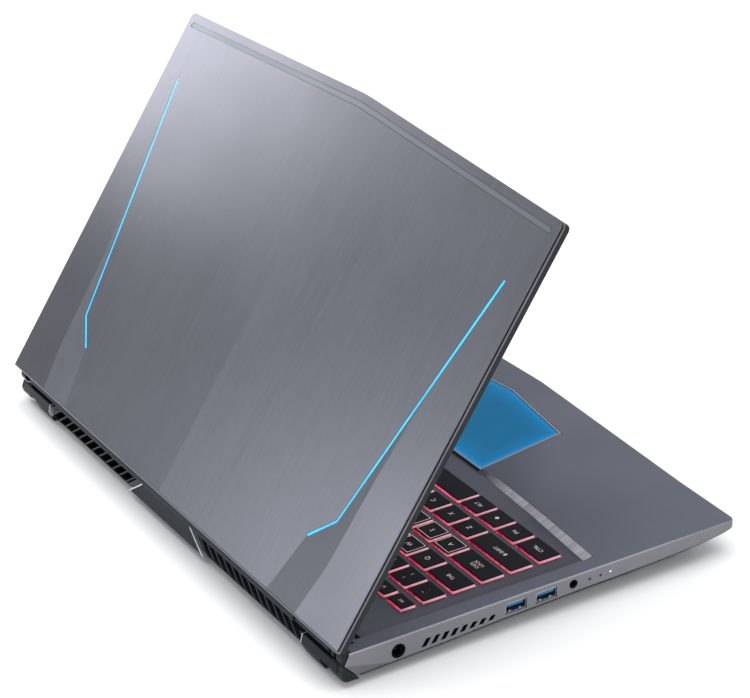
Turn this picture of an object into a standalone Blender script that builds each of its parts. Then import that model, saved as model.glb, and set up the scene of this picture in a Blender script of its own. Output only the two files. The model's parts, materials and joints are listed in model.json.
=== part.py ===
"""Gaming laptop computer of the 17-inch class, standing on its feet with the lid part open.

Every length in this file is in millimetres and the helpers turn it into metres as they build.
Frame: origin on the table under the middle of the footprint, +X to the user's right,
+Y towards the hinge, +Z up. The lid is drawn closed, about the hinge axis, and an empty
on that axis swings it open.
"""

import math

import bmesh
import bpy
from mathutils import Matrix, Vector

MM = 0.001
GAP = 0.3
DECK_CUT = (10.0, 30.0)

# Base: footprint, deck and the lower edge of its side walls, as (y, z) from rear to front.
HALF_WIDTH = 200.0
FRONT_SIDE_Y = -124.8
FRONT_APEX_Y = -131.8
REAR_Y = 127.0
REAR_DECK_Y = 121.3
DECK_Z = 21.0
DECK_THICKNESS = 2.4
DECK_CHAMFER = 0.6
WALL = 1.8
CORNER_RADIUS = 4.0
SIDE_LOWER_EDGE = (
    (127.0, 7.0),
    (93.5, 8.0),
    (63.2, 8.6),
    (31.8, 10.1),
    (-16.6, 11.3),
    (-66.1, 11.9),
    (-100.3, 13.1),
    (-116.0, 15.0),
    (-124.8, 17.0),
    (-131.8, 17.6),
)
BOTTOM_Z = 2.0
BOTTOM_THICKNESS = 1.6
UNDERSIDE_SLOPE = 1.2

# Keyboard recess in the deck.
RECESS_Z = 19.4
RECESS_HALF_WIDTH = 189.3
RECESS_REAR_Y = 113.0
RECESS_CENTRE_Y = -41.2
RECESS_SIDE_INNER_Y = -30.2
RECESS_SIDE_OUTER_Y = -36.0

# Keys.
KEY_LEFT_X = -177.2
KEY_RIGHT_X = 98.6
PAD_RIGHT_X = 177.2
KEY_PITCH = 18.6
KEY_WIDTH = 16.45
KEY_DEPTH = 14.4
ROW_PITCH = 18.4
FIRST_ROW_Y = -23.5
FUNCTION_ROW_Y = 69.2
FUNCTION_WIDTH = 14.42
FUNCTION_DEPTH = 9.0
FUNCTION_PITCH = 17.26
KEY_TOP_Z = 21.0
KEY_BOTTOM_Z = 17.7
KEY_TAPER = 0.35
KEY_CLEARANCE = 0.45
CTRL_EXTRA_GAP = 0.4
MEMBRANE_Z = (15.2, 15.7)
PLATE_Z = (14.0, 14.9)

# Trackpad: a five-sided glass plate whose front edge is a shallow V.
PAD_REAR_Y = -40.6
PAD_REAR_HALF = 71.3
PAD_FRONT_Y = -101.8
PAD_FRONT_HALF = 61.0
PAD_APEX_Y = -109.9
PAD_Z = (19.0, 20.7)
PAD_BEZEL_WIDTH = 1.5
PAD_BEZEL_Z = (18.2, 21.0)

# Lid, as distances from the hinge axis when it is closed.
HINGE_Y = 123.33
HINGE_Z = 17.46
LID_OPEN_DEGREES = 55.4
LID_HALF_WIDTH = 200.1
LID_REAR = -1.3
LID_SIDE_LENGTH = 247.07
LID_MIDDLE_LENGTH = 254.85
LID_TOP_Z = 28.6
COVER_DEPTH = (0.0, 0.9)
FRAME_DEPTH = (1.2, 2.1)
TRIM_DEPTH = (2.4, 3.9)
BEZEL_DEPTH = (4.2, 7.0)
PANEL_DEPTH = (4.2, 6.1)
BEZEL_LIP_DEPTH = 6.4
SCREEN_SIZE = (382.0, 215.0)
SCREEN_REAR = 19.0
PANEL_MARGIN = 4.0
LIGHT_WIDTH = 1.8
LIGHT_PATH = ((181.1, 207.0), (152.2, 54.3), (135.8, 38.2))
LIGHT_CLEARANCE = 0.15

# Hinges.
KNUCKLE_X = (150.0, 185.0)
KNUCKLE_RADIUS = 3.6
KNUCKLE_BORE = 2.0
PIN_RADIUS = 1.7

# Rear: slanted cooling fins each side of a plain block, then the corner blocks.
REAR_TOP_Y = 126.2
REAR_TOP_Z = 18.8
REAR_LOW_Y = 128.6
BLOCK_LOW_Z = 4.4
BLOCK_LOW_HALF = 46.0
FIN_SLANT = 1.465
FIN_LOW_Z = 7.0
FIN_PITCH = 9.3
FIN_THICKNESS = 1.5
GRILLE_OUTER_X = 157.6

# Sockets in the left wall, as (y, z) of their centres.
USB_SIZE = (13.1, 5.7)
USB_DEPTH = 14.0
USB_CENTRES = ((21.1, 14.9), (1.7, 15.0))
AUDIO_CENTRE = (-15.8, 15.9)
AUDIO_RADIUS = 2.4
DC_CENTRE = (94.0, 12.8)
DC_RADIUS = 4.0
STATUS_Y = (-26.4, -33.4, -40.2)
STATUS_Z = 15.6
STATUS_RADIUS = 0.6
ETHERNET_CENTRE = (20.0, 14.55)
ETHERNET_SIZE = (15.0, 7.2)

# Inside the base: fans each side, and blocks as their low and high corners.
FAN_X = 112.0
FAN_Y = 64.0
FAN_RADIUS = 31.0
FAN_Z = (4.6, 12.6)
IMPELLER_HUB_RADIUS = 14.0
BLADE_COUNT = 15
SINK_X = (70.0, 150.0)
SINK_FIN_COUNT = 22
MOTHERBOARD = ((-72.0, -20.0, 5.0), (68.0, 94.0, 6.4))
BATTERY = ((-110.0, -96.0, 4.4), (110.0, -30.0, 12.4))
SPEAKER_SIZE = (42.0, 24.0, 6.0)
SPEAKER_CORNERS = {"left": (-160.0, -90.0, 4.6), "right": (118.0, -90.0, 4.6)}
INTAKE_SLOT_COUNT = 9
INTAKE_SLOT_PITCH = 7.0
INTAKE_SLOT_WIDTH = 3.0

# Power button, and the short slots over the tweeters each side of it.
POWER_BUTTON_Y = 96.5
POWER_BUTTON_SIZE = (26.0, 6.6)
POWER_BUTTON_CLEARANCE = 0.6
SPEAKER_SLOT_COUNT = 16
SPEAKER_SLOT_PITCH = 6.0
SPEAKER_SLOT_FIRST_X = 52.0
SPEAKER_SLOT_Y = (88.0, 96.0)
SPEAKER_SLOT_WIDTH = 2.4
SPEAKER_SLOT_LEAN = 4.0

# Slanted air slots in the side walls.
SLOT_COUNT = 8
SLOT_PITCH = 5.73
SLOT_WIDTH = 3.1
SLOT_FIRST_Y = 73.9
SLOT_TOP_Z = 14.4
SLOT_LOW_Z = (9.8, 11.6)
SLOT_LEAN = 0.72


# ---------------------------------------------------------------- scene helpers


def clear_scene():
    for obj in list(bpy.data.objects):
        bpy.data.objects.remove(obj, do_unlink=True)


def new_collection(name, hidden=False):
    made = bpy.data.collections.new(name)
    bpy.context.scene.collection.children.link(made)
    made.hide_render = hidden
    return made


def material(name, color, roughness, metallic=0.0, glow=0.0):
    made = bpy.data.materials.new(name)
    made.use_nodes = True
    shader = made.node_tree.nodes["Principled BSDF"]
    shader.inputs["Base Color"].default_value = (*color, 1.0)
    shader.inputs["Roughness"].default_value = roughness
    shader.inputs["Metallic"].default_value = metallic
    if glow:
        shader.inputs["Emission Color"].default_value = (*color, 1.0)
        shader.inputs["Emission Strength"].default_value = glow
    return made


def add_object(name, mesh, slot=None):
    """A part when a material is given, otherwise a hidden cutter."""
    obj = bpy.data.objects.new(name, mesh)
    if slot is None:
        CUTTERS.objects.link(obj)
        obj.hide_render = True
        obj.display_type = "WIRE"
    else:
        PARTS.objects.link(obj)
        mesh.materials.append(slot)
    return obj


def mesh_from(bm, name):
    bmesh.ops.recalc_face_normals(bm, faces=bm.faces)
    mesh = bpy.data.meshes.new(name)
    bm.to_mesh(mesh)
    bm.free()
    return mesh


def add_block(bm, low, high):
    size = [(b - a) * MM for a, b in zip(low, high)]
    middle = [(a + b) / 2 * MM for a, b in zip(low, high)]
    place = Matrix.Translation(middle) @ Matrix.Diagonal((*size, 1.0))
    return bmesh.ops.create_cube(bm, size=1.0, matrix=place)["verts"]


def box(name, low, high, slot=None):
    bm = bmesh.new()
    add_block(bm, low, high)
    return add_object(name, mesh_from(bm, name), slot)


def boxes(name, corners, slot=None):
    bm = bmesh.new()
    for low, high in corners:
        add_block(bm, low, high)
    return add_object(name, mesh_from(bm, name), slot)


AXIS_TURN = {
    "X": Matrix.Rotation(math.radians(90), 4, "Y"),
    "Y": Matrix.Rotation(math.radians(-90), 4, "X"),
    "Z": Matrix.Identity(4),
}


def add_cylinder(bm, centre, radius, length, axis="Z", segments=24):
    place = Matrix.Translation(Vector(centre) * MM) @ AXIS_TURN[axis]
    bmesh.ops.create_cone(
        bm,
        cap_ends=True,
        segments=segments,
        radius1=radius * MM,
        radius2=radius * MM,
        depth=length * MM,
        matrix=place,
    )


def cylinder(name, centre, radius, length, axis="Z", slot=None, segments=24):
    bm = bmesh.new()
    add_cylinder(bm, centre, radius, length, axis, segments)
    return add_object(name, mesh_from(bm, name), slot)


# How an outline's (u, v) and its extrusion w map to world axes.
OUTLINE_FRAME = {
    "X": Matrix(((0, 0, 1, 0), (1, 0, 0, 0), (0, 1, 0, 0), (0, 0, 0, 1))),
    "Y": Matrix(((1, 0, 0, 0), (0, 0, -1, 0), (0, 1, 0, 0), (0, 0, 0, 1))),
    "Z": Matrix.Identity(4),
}


def outline_mesh(name, outline, low, high, axis="Z"):
    """Mesh of a flat outline extruded from low to high along an axis: X takes (y, z), Y takes (x, z)."""
    curve = bpy.data.curves.new(name, "CURVE")
    curve.dimensions = "2D"
    curve.fill_mode = "BOTH"
    curve.extrude = (high - low) / 2 * MM
    spline = curve.splines.new("POLY")
    spline.points.add(len(outline) - 1)
    for point, (u, v) in zip(spline.points, outline):
        point.co = (u * MM, v * MM, 0.0, 1.0)
    spline.use_cyclic_u = True
    holder = bpy.data.objects.new(name, curve)
    bpy.context.scene.collection.objects.link(holder)
    graph = bpy.context.evaluated_depsgraph_get()
    mesh = bpy.data.meshes.new_from_object(holder.evaluated_get(graph))
    bpy.data.objects.remove(holder, do_unlink=True)
    bpy.data.curves.remove(curve)
    middle = (low + high) / 2 * MM
    if axis == "Y":
        middle = -middle
    bm = bmesh.new()
    bm.from_mesh(mesh)
    bpy.data.meshes.remove(mesh)
    bmesh.ops.remove_doubles(bm, verts=bm.verts, dist=1e-6)
    bmesh.ops.transform(bm, matrix=OUTLINE_FRAME[axis] @ Matrix.Translation((0, 0, middle)), verts=bm.verts)
    return mesh_from(bm, name)


def prism(name, outline, low, high, axis="Z", slot=None):
    return add_object(name, outline_mesh(name, outline, low, high, axis), slot)


def join_meshes(name, meshes, slot=None):
    bm = bmesh.new()
    for mesh in meshes:
        bm.from_mesh(mesh)
        bpy.data.meshes.remove(mesh)
    return add_object(name, mesh_from(bm, name), slot)


def loft(name, loops, slot=None):
    """Closed body through loops of (x, y, z) with equal point counts, capped at both ends."""
    bm = bmesh.new()
    rings = [[bm.verts.new(Vector(point) * MM) for point in loop] for loop in loops]
    for lower, upper in zip(rings, rings[1:]):
        for i, corner in enumerate(lower):
            j = (i + 1) % len(lower)
            bm.faces.new((corner, lower[j], upper[j], upper[i]))
    bm.faces.new(rings[0])
    bm.faces.new(rings[-1])
    return add_object(name, mesh_from(bm, name), slot)


def boolean(target, other, operation):
    modifier = target.modifiers.new(other.name, "BOOLEAN")
    modifier.operation = operation
    modifier.object = other
    modifier.solver = "EXACT"


def subtract(target, *cutters):
    for cutter in cutters:
        boolean(target, cutter, "DIFFERENCE")


def unite(target, *others):
    for other in others:
        boolean(target, other, "UNION")


def mirrored(points):
    """Outline points of the -X half, completed with their mirror images."""
    return points + [(-x, y) for x, y in reversed(points)]


def inset(outline, distance):
    """Outline moved inwards, or outwards where the distance is negative. Points run counter-clockwise."""
    count = len(outline)
    moved = []
    for i, point in enumerate(outline):
        here = Vector(point)
        before = (here - Vector(outline[i - 1])).normalized()
        after = (Vector(outline[(i + 1) % count]) - here).normalized()
        normal = Vector((-before.y - after.y, before.x + after.x)).normalized()
        reach = distance / max(0.4, normal.dot(Vector((-after.y, after.x))))
        moved.append(tuple(here + normal * reach))
    return moved


def drawn_in(outline, reaches):
    """Outline pulled towards its middle by a reach that may differ from point to point."""
    return [
        (x * (1 - reach / HALF_WIDTH), y * (1 - reach / -FRONT_APEX_Y))
        for (x, y), reach in zip(outline, reaches)
    ]


def at_height(outline, height):
    heights = height if isinstance(height, (list, tuple)) else [height] * len(outline)
    return [(x, y, z) for (x, y), z in zip(outline, heights)]


# ---------------------------------------------------------------- base shells


def lower_edge_z(y):
    for (y1, z1), (y0, z0) in zip(SIDE_LOWER_EDGE, SIDE_LOWER_EDGE[1:]):
        if y >= y0:
            return z0 + (z1 - z0) * (min(y, y1) - y0) / (y1 - y0)
    return SIDE_LOWER_EDGE[-1][1]


def base_outline():
    """Footprint, counter-clockwise from the rear left corner, with a point at each bend of the lower edge."""
    left = [(-HALF_WIDTH, y) for y, _ in SIDE_LOWER_EDGE if y > FRONT_SIDE_Y + CORNER_RADIUS]
    centre_x = -HALF_WIDTH + CORNER_RADIUS
    centre_y = FRONT_SIDE_Y + CORNER_RADIUS
    for step in range(4):
        angle = math.radians(180 + 30 * step)
        x = centre_x + CORNER_RADIUS * math.cos(angle)
        left.append((x, centre_y + CORNER_RADIUS * math.sin(angle)))
    left.append((-150.0, FRONT_SIDE_Y - 0.7))
    left.append((-0.5, FRONT_APEX_Y))
    return mirrored(left)


def make_top_case(slot):
    outline = base_outline()
    edge = [lower_edge_z(y) for _, y in outline]
    inner = inset(outline, WALL)
    case = loft(
        "top_case",
        [
            at_height(inner, DECK_Z - DECK_THICKNESS),
            at_height(inner, edge),
            at_height(outline, edge),
            at_height(outline, DECK_Z - DECK_CHAMFER),
            at_height(inset(outline, DECK_CHAMFER), DECK_Z),
        ],
        slot,
    )
    subtract(case, recess_cutter())
    subtract(case, boxes("cut_key_openings", key_openings()))
    subtract(case, prism("cut_trackpad_opening", pad_outline(PAD_BEZEL_WIDTH + GAP), *DECK_CUT))
    subtract(case, power_opening_cutter())
    subtract(case, speaker_slot_cutter())
    subtract(case, box("cut_rear_edge", (-194.9, REAR_DECK_Y, 0.0), (194.9, 140.0, 40.0)))
    for side in (-1, 1):
        name = "left" if side < 0 else "right"
        low, high = sorted((side * (KNUCKLE_X[0] - 2.0), side * (KNUCKLE_X[1] + 7.0)))
        subtract(case, box(f"cut_hinge_notch_{name}", (low, 115.6, 0.0), (high, 140.0, 40.0)))
    side_end = [(122.8, 21.4), (126.3, 14.7), (118.3, 6.2), (118.3, 0.0), (140.0, 0.0), (140.0, 22.0)]
    subtract(case, prism("cut_side_ends", side_end, -210.0, 210.0, "X"))
    subtract(case, slot_cutter())
    subtract(case, socket_cutter())
    return case


def recess_cutter():
    inner = mirrored(
        [
            (-RECESS_HALF_WIDTH, RECESS_REAR_Y),
            (-RECESS_HALF_WIDTH, RECESS_SIDE_INNER_Y),
            (-134.5, -38.0),
            (-90.0, RECESS_CENTRE_Y + 0.4),
            (-PAD_REAR_HALF, RECESS_CENTRE_Y + 0.2),
        ]
    )
    outer = mirrored(
        [
            (-RECESS_HALF_WIDTH, RECESS_REAR_Y),
            (-RECESS_HALF_WIDTH, RECESS_SIDE_OUTER_Y),
            (-136.0, -40.0),
            (-90.0, RECESS_CENTRE_Y),
            (-PAD_REAR_HALF, RECESS_CENTRE_Y),
        ]
    )
    return loft(
        "cut_keyboard_recess",
        [at_height(inner, RECESS_Z), at_height(outer, DECK_Z + 0.002), at_height(outer, 30.0)],
    )


def power_opening_cutter():
    half_x = POWER_BUTTON_SIZE[0] / 2 + POWER_BUTTON_CLEARANCE
    half_y = POWER_BUTTON_SIZE[1] / 2 + POWER_BUTTON_CLEARANCE
    low = (-half_x, POWER_BUTTON_Y - half_y, DECK_CUT[0])
    return box("cut_power_opening", low, (half_x, POWER_BUTTON_Y + half_y, DECK_CUT[1]))


def speaker_slot_cutter():
    """A row of short slanted slots each side, behind the keyboard."""
    meshes = []
    low, high = SPEAKER_SLOT_Y
    for side in (-1, 1):
        for i in range(SPEAKER_SLOT_COUNT):
            x = side * (SPEAKER_SLOT_FIRST_X + SPEAKER_SLOT_PITCH * i)
            end = x + side * SPEAKER_SLOT_LEAN
            shape = [
                (x, low),
                (x + SPEAKER_SLOT_WIDTH, low),
                (end + SPEAKER_SLOT_WIDTH, high),
                (end, high),
            ]
            meshes.append(outline_mesh("slot", shape, *DECK_CUT))
    return join_meshes("cut_speaker_slots", meshes)


def slot_cutter():
    """Slanted air slots through both side walls; they get shorter towards the front."""
    meshes = []
    for i in range(SLOT_COUNT):
        y = SLOT_FIRST_Y - i * SLOT_PITCH
        low = SLOT_LOW_Z[0] + (SLOT_LOW_Z[1] - SLOT_LOW_Z[0]) * i / (SLOT_COUNT - 1)
        lean = SLOT_LEAN * (SLOT_TOP_Z - low)
        shape = [
            (y, SLOT_TOP_Z),
            (y + lean, low),
            (y + lean + SLOT_WIDTH, low),
            (y + SLOT_WIDTH, SLOT_TOP_Z),
        ]
        for side in (-1, 1):
            start, end = sorted((side * 190.0, side * 210.0))
            meshes.append(outline_mesh("slot", shape, start, end, "X"))
    return join_meshes("cut_air_slots", meshes)


def wall_block(centre, size, side=-1):
    """Corners of a block that goes through the left (-1) or right (+1) wall."""
    (y, z), (width, height) = centre, size
    start, end = sorted((side * 190.0, side * 210.0))
    return (start, y - width / 2, z - height / 2), (end, y + width / 2, z + height / 2)


def socket_cutter():
    bm = bmesh.new()
    opening = (USB_SIZE[0] + 2 * GAP, USB_SIZE[1] + 2 * GAP)
    for centre in USB_CENTRES:
        add_block(bm, *wall_block(centre, opening))
    opening = (ETHERNET_SIZE[0] + 2 * GAP, ETHERNET_SIZE[1] + 2 * GAP)
    add_block(bm, *wall_block(ETHERNET_CENTRE, opening, side=1))
    add_cylinder(bm, (-200.0, *AUDIO_CENTRE), AUDIO_RADIUS + GAP, 20.0, "X")
    add_cylinder(bm, (-200.0, *DC_CENTRE), DC_RADIUS + GAP, 20.0, "X", 32)
    for y in STATUS_Y:
        add_cylinder(bm, (-200.0, y, STATUS_Z), STATUS_RADIUS + GAP, 20.0, "X", 12)
    return add_object("cut_sockets", mesh_from(bm, "cut_sockets"))


def make_bottom_cover(slot):
    outline = base_outline()
    edge = [lower_edge_z(y) - GAP for _, y in outline]
    slope = [UNDERSIDE_SLOPE * (z - BOTTOM_Z) for z in edge]
    under = drawn_in(outline, slope)
    floor = drawn_in(outline, [reach + 2 * BOTTOM_THICKNESS for reach in slope])
    cover = loft(
        "bottom_cover",
        [
            at_height(floor, BOTTOM_Z + BOTTOM_THICKNESS),
            at_height(inset(outline, WALL), edge),
            at_height(outline, edge),
            at_height(under, BOTTOM_Z),
        ],
        slot,
    )
    low_half = BLOCK_LOW_HALF + GAP
    subtract(cover, box("cut_bottom_block", (-low_half - 2.0, 119.0, -1.0), (low_half + 2.0, 140.0, 12.0)))
    for side in (-1, 1):
        name = "left" if side < 0 else "right"
        low, high = sorted((side * 156.0, side * 210.0))
        subtract(cover, box(f"cut_bottom_corner_{name}", (low, 114.0, -1.0), (high, 140.0, 12.0)))
    meshes = []
    for side in (-1, 1):
        for i in range(INTAKE_SLOT_COUNT):
            step = i - INTAKE_SLOT_COUNT // 2
            y = 73.0 + INTAKE_SLOT_PITCH * step
            half = 30.0 - abs(step) * 3.5
            shape = [
                (side * FAN_X - half, y),
                (side * FAN_X + half, y),
                (side * FAN_X + half, y + INTAKE_SLOT_WIDTH),
                (side * FAN_X - half, y + INTAKE_SLOT_WIDTH),
            ]
            meshes.append(outline_mesh("slot", shape, -2.0, 3.9))
    subtract(cover, join_meshes("cut_intake_slots", meshes))
    return cover


# ---------------------------------------------------------------- keyboard

# The front row's keys from left to right, as (name, width).
BOTTOM_ROW = (
    ("key_ctrl", 22.72),
    ("key_fn", KEY_WIDTH),
    ("key_menu", KEY_WIDTH),
    ("key_alt", KEY_WIDTH),
    ("space", 91.05),
    ("alt_right", KEY_WIDTH),
    ("menu_right", KEY_WIDTH),
    ("ctrl_right", 26.7),
    ("arrow_left", KEY_WIDTH),
    ("arrow_down", KEY_WIDTH),
    ("arrow_right", KEY_WIDTH),
)
MOVING_KEYS = {
    "key_ctrl",
    "key_fn",
    "key_menu",
    "key_alt",
    "key_shift",
    "key_z",
    "key_x",
    "key_caps",
    "key_a",
    "key_s",
    "key_tab",
    "key_q",
    "key_w",
    "key_grave",
    "key_esc",
}


def letter_row(first, letters, last):
    """A wide key, single keys, and a last key that reaches the row's right end."""
    row = [first]
    row += [(f"key_{letter}", KEY_WIDTH) for letter in letters]
    used = sum(width + KEY_PITCH - KEY_WIDTH for _, width in row)
    if last:
        row.append((last, KEY_RIGHT_X - KEY_LEFT_X - used))
    return row


def key_rows():
    """The main block's rows from the front, each a list of (name, width)."""
    shift_row = letter_row(("key_shift", 41.57), "zxcvbnm,./", None)
    shift_row += [("shift_right", 27.6), ("arrow_up", KEY_WIDTH)]
    return [
        BOTTOM_ROW,
        shift_row,
        letter_row(("key_caps", 31.9), "asdfghjkl;'", "enter"),
        letter_row(("key_tab", 26.2), "qwertyuiop[]", "backslash"),
        letter_row(("key_grave", KEY_WIDTH), "1234567890-=", "backspace"),
    ]


def key_layout():
    """Every key as (name, x low, x high, y low, y high)."""
    keys = []
    for row, names in enumerate(key_rows()):
        y = FIRST_ROW_Y + row * ROW_PITCH
        x = KEY_LEFT_X
        for name, width in names:
            keys.append((name, x, x + width, y, y + KEY_DEPTH))
            x += width + KEY_PITCH - KEY_WIDTH + (CTRL_EXTRA_GAP if name == "key_ctrl" else 0.0)
    for i in range(20):
        x = KEY_LEFT_X + i * FUNCTION_PITCH
        if i >= 16:
            x = PAD_RIGHT_X - FUNCTION_WIDTH - (19 - i) * FUNCTION_PITCH
        name = "key_esc" if i == 0 else f"function_{i}"
        keys.append((name, x, x + FUNCTION_WIDTH, FUNCTION_ROW_Y, FUNCTION_ROW_Y + FUNCTION_DEPTH))
    return keys + number_pad()


def number_pad():
    keys = []
    for row in range(5):
        y = FIRST_ROW_Y + row * ROW_PITCH
        for column in range(4):
            x = PAD_RIGHT_X - KEY_WIDTH - (3 - column) * KEY_PITCH
            tall = column == 3 and row in (0, 2)
            covered = column == 3 and row in (1, 3)
            if covered or (row == 0 and column == 0):
                continue
            high = y + KEY_DEPTH + (ROW_PITCH if tall else 0.0)
            keys.append((f"pad_{row}_{column}", x, x + KEY_WIDTH, y, high))
    return keys


def key_openings():
    reach = KEY_CLEARANCE
    return [
        ((x0 - reach, y0 - reach, DECK_CUT[0]), (x1 + reach, y1 + reach, DECK_CUT[1]))
        for _, x0, x1, y0, y1 in key_layout()
    ]


def add_keycap(bm, x0, x1, y0, y1, low):
    verts = add_block(bm, (x0, y0, low), (x1, y1, KEY_TOP_Z))
    middle_x = (x0 + x1) / 2 * MM
    middle_y = (y0 + y1) / 2 * MM
    for vert in verts:
        if vert.co.z > (low + KEY_TOP_Z) / 2 * MM:
            vert.co.x -= math.copysign(KEY_TAPER * MM, vert.co.x - middle_x)
            vert.co.y -= math.copysign(KEY_TAPER * MM, vert.co.y - middle_y)


def make_keys(slot):
    for name, x0, x1, y0, y1 in key_layout():
        if name not in MOVING_KEYS:
            continue
        bm = bmesh.new()
        add_keycap(bm, x0, x1, y0, y1, KEY_BOTTOM_Z)
        centre = Vector(((x0 + x1) / 2, (y0 + y1) / 2, KEY_TOP_Z)) * MM
        bmesh.ops.translate(bm, verts=bm.verts, vec=-centre)
        key = add_object(name, mesh_from(bm, name), slot)
        key.location = centre


def make_keycap_field(slot):
    """The remaining keycaps, held together by the membrane sheet under them."""
    low, high = MEMBRANE_Z
    sheet = box("keycap_field", (-179.0, -25.5, low), (179.0, 80.0, high), slot)
    bm = bmesh.new()
    for name, x0, x1, y0, y1 in key_layout():
        if name not in MOVING_KEYS:
            add_keycap(bm, x0, x1, y0, y1, (low + high) / 2)
    unite(sheet, add_object("union_keycaps", mesh_from(bm, "union_keycaps")))
    return sheet


def make_keyboard_plate(slot):
    return box("keyboard_plate", (-181.0, -28.0, PLATE_Z[0]), (181.0, 83.0, PLATE_Z[1]), slot)


# ---------------------------------------------------------------- trackpad and power button


def pad_outline(grow=0.0):
    outline = mirrored(
        [
            (-PAD_REAR_HALF, PAD_REAR_Y),
            (-PAD_FRONT_HALF, PAD_FRONT_Y),
            (-0.05, PAD_APEX_Y),
        ]
    )
    return inset(outline, -grow)


def make_trackpad(slot):
    pad = prism("trackpad", pad_outline(-GAP), *PAD_Z, slot=slot)
    hinge = Vector((0.0, PAD_REAR_Y, PAD_Z[1])) * MM
    pad.data.transform(Matrix.Translation(-hinge))
    pad.location = hinge
    return pad


def make_trackpad_bezel(slot):
    ring = prism("trackpad_bezel", pad_outline(PAD_BEZEL_WIDTH), *PAD_BEZEL_Z, slot=slot)
    subtract(ring, prism("cut_bezel_ring", pad_outline(), *DECK_CUT))
    return ring


def make_power_button(slot):
    half_x, half_y = (size / 2 for size in POWER_BUTTON_SIZE)
    button = box("power_button", (-half_x, -half_y, -2.6), (half_x, half_y, 0.4), slot)
    button.location = Vector((0.0, POWER_BUTTON_Y, RECESS_Z)) * MM
    return button


# ---------------------------------------------------------------- inside the base


def make_fan(side, housing_slot, impeller_slot):
    name = "left" if side < 0 else "right"
    x, y = side * FAN_X, FAN_Y
    low, high = FAN_Z
    housing = box(f"fan_housing_{name}", (x - 38.0, y - 36.0, low), (x + 38.0, y + 26.0, high), housing_slot)
    chamber = cylinder(f"cut_fan_chamber_{name}", (x, y, 8.8), FAN_RADIUS + 1.5, 6.4, slot=None, segments=48)
    inlet = cylinder(f"cut_fan_inlet_{name}", (x, y, 4.0), 22.0, 6.0, segments=32)
    outlet = box(f"cut_fan_outlet_{name}", (x - 30.0, y, low + 1.0), (x + 30.0, y + 40.0, high - 0.6))
    subtract(housing, chamber, inlet, outlet)
    make_impeller(name, Vector((x, y, (low + high) / 2 + 0.2)) * MM, impeller_slot)
    return housing


def make_impeller(name, centre, slot):
    """Hub with curved blades, one body, drawn about its own axle."""
    hub_radius = IMPELLER_HUB_RADIUS
    hub = cylinder(f"fan_impeller_{name}", (0, 0, 0), hub_radius, 5.0, slot=slot, segments=32)
    bm = bmesh.new()
    for i in range(BLADE_COUNT):
        turn = 2 * math.pi * i / BLADE_COUNT
        inner, outer = [], []
        for step in range(4):
            radius = hub_radius - 1.0 + step * (FAN_RADIUS - hub_radius) / 3
            angle = turn + 0.16 * step
            half = 0.5 / radius
            inner.append((radius * math.cos(angle - half), radius * math.sin(angle - half)))
            outer.append((radius * math.cos(angle + half), radius * math.sin(angle + half)))
        mesh = outline_mesh("blade", inner + outer[::-1], -2.0, 2.0)
        bm.from_mesh(mesh)
        bpy.data.meshes.remove(mesh)
    ring = add_object(f"union_blades_{name}", mesh_from(bm, "blades"))
    unite(hub, ring)
    hub.location = centre
    ring.location = centre


def make_heatsink(side, slot):
    name = "left" if side < 0 else "right"
    low, high = sorted((side * SINK_X[0], side * SINK_X[1]))
    sink = box(f"heatsink_{name}", (low, 100.5, 4.6), (high, 118.0, 16.0), slot)
    pitch = (high - low - 2.0) / SINK_FIN_COUNT
    gaps = []
    for i in range(SINK_FIN_COUNT):
        x = low + 2.0 + i * pitch
        gaps.append(((x, 90.0, 5.4), (x + pitch - 1.0, 130.0, 15.2)))
    subtract(sink, boxes(f"cut_sink_gaps_{name}", gaps))
    return sink


def make_heat_spreader(slot):
    """Flat spreader over both processors with its two ends over the heatsinks."""
    outline = mirrored(
        [
            (-66.0, 118.0),
            (-66.0, 96.0),
            (-60.0, 60.0),
            (-60.0, 40.0),
            (-26.0, 40.0),
            (-26.0, 52.0),
            (-8.0, 52.0),
        ]
    )
    return prism("heat_spreader", outline, 8.2, 11.4, slot=slot)


def make_inside(slots):
    board = box("motherboard", *MOTHERBOARD, slots["board"])
    raised = [((x, 42.0, 6.0), (x + 26.0, 60.0, 7.8)) for x in (-55.0, 29.0)]
    raised += [((-66.0, -14.0, 6.0), (2.0, 16.0, 9.2)), ((20.0, -14.0, 6.0), (42.0, 30.0, 8.0))]
    unite(board, boxes("union_board_parts", raised))
    box("battery", *BATTERY, slots["battery"])
    for name, low in SPEAKER_CORNERS.items():
        high = tuple(a + b for a, b in zip(low, SPEAKER_SIZE))
        box(f"speaker_{name}", low, high, slots["dark"])


# ---------------------------------------------------------------- rear


def rear_face_y(z):
    """The rear face leans out as it goes down."""
    return REAR_TOP_Y + (REAR_LOW_Y - REAR_TOP_Y) * (REAR_TOP_Z - z) / (REAR_TOP_Z - BLOCK_LOW_Z)


def make_centre_block(slot):
    rise = REAR_TOP_Z - BLOCK_LOW_Z
    top_half = BLOCK_LOW_HALF - FIN_SLANT * rise
    face = [
        (-BLOCK_LOW_HALF, BLOCK_LOW_Z),
        (BLOCK_LOW_HALF, BLOCK_LOW_Z),
        (top_half, REAR_TOP_Z),
        (-top_half, REAR_TOP_Z),
    ]
    block = prism("rear_centre_block", face, 119.0, 132.0, "Y", slot)
    side = [
        (119.3, BLOCK_LOW_Z),
        (rear_face_y(BLOCK_LOW_Z) - 1.2, BLOCK_LOW_Z),
        (rear_face_y(BLOCK_LOW_Z + 1.2), BLOCK_LOW_Z + 1.2),
        (REAR_TOP_Y, REAR_TOP_Z),
        (121.7, REAR_TOP_Z),
        (121.7, 17.4),
        (119.3, 17.4),
    ]
    boolean(block, prism("shape_block_side", side, -80.0, 80.0, "X"), "INTERSECT")
    return block


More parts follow.
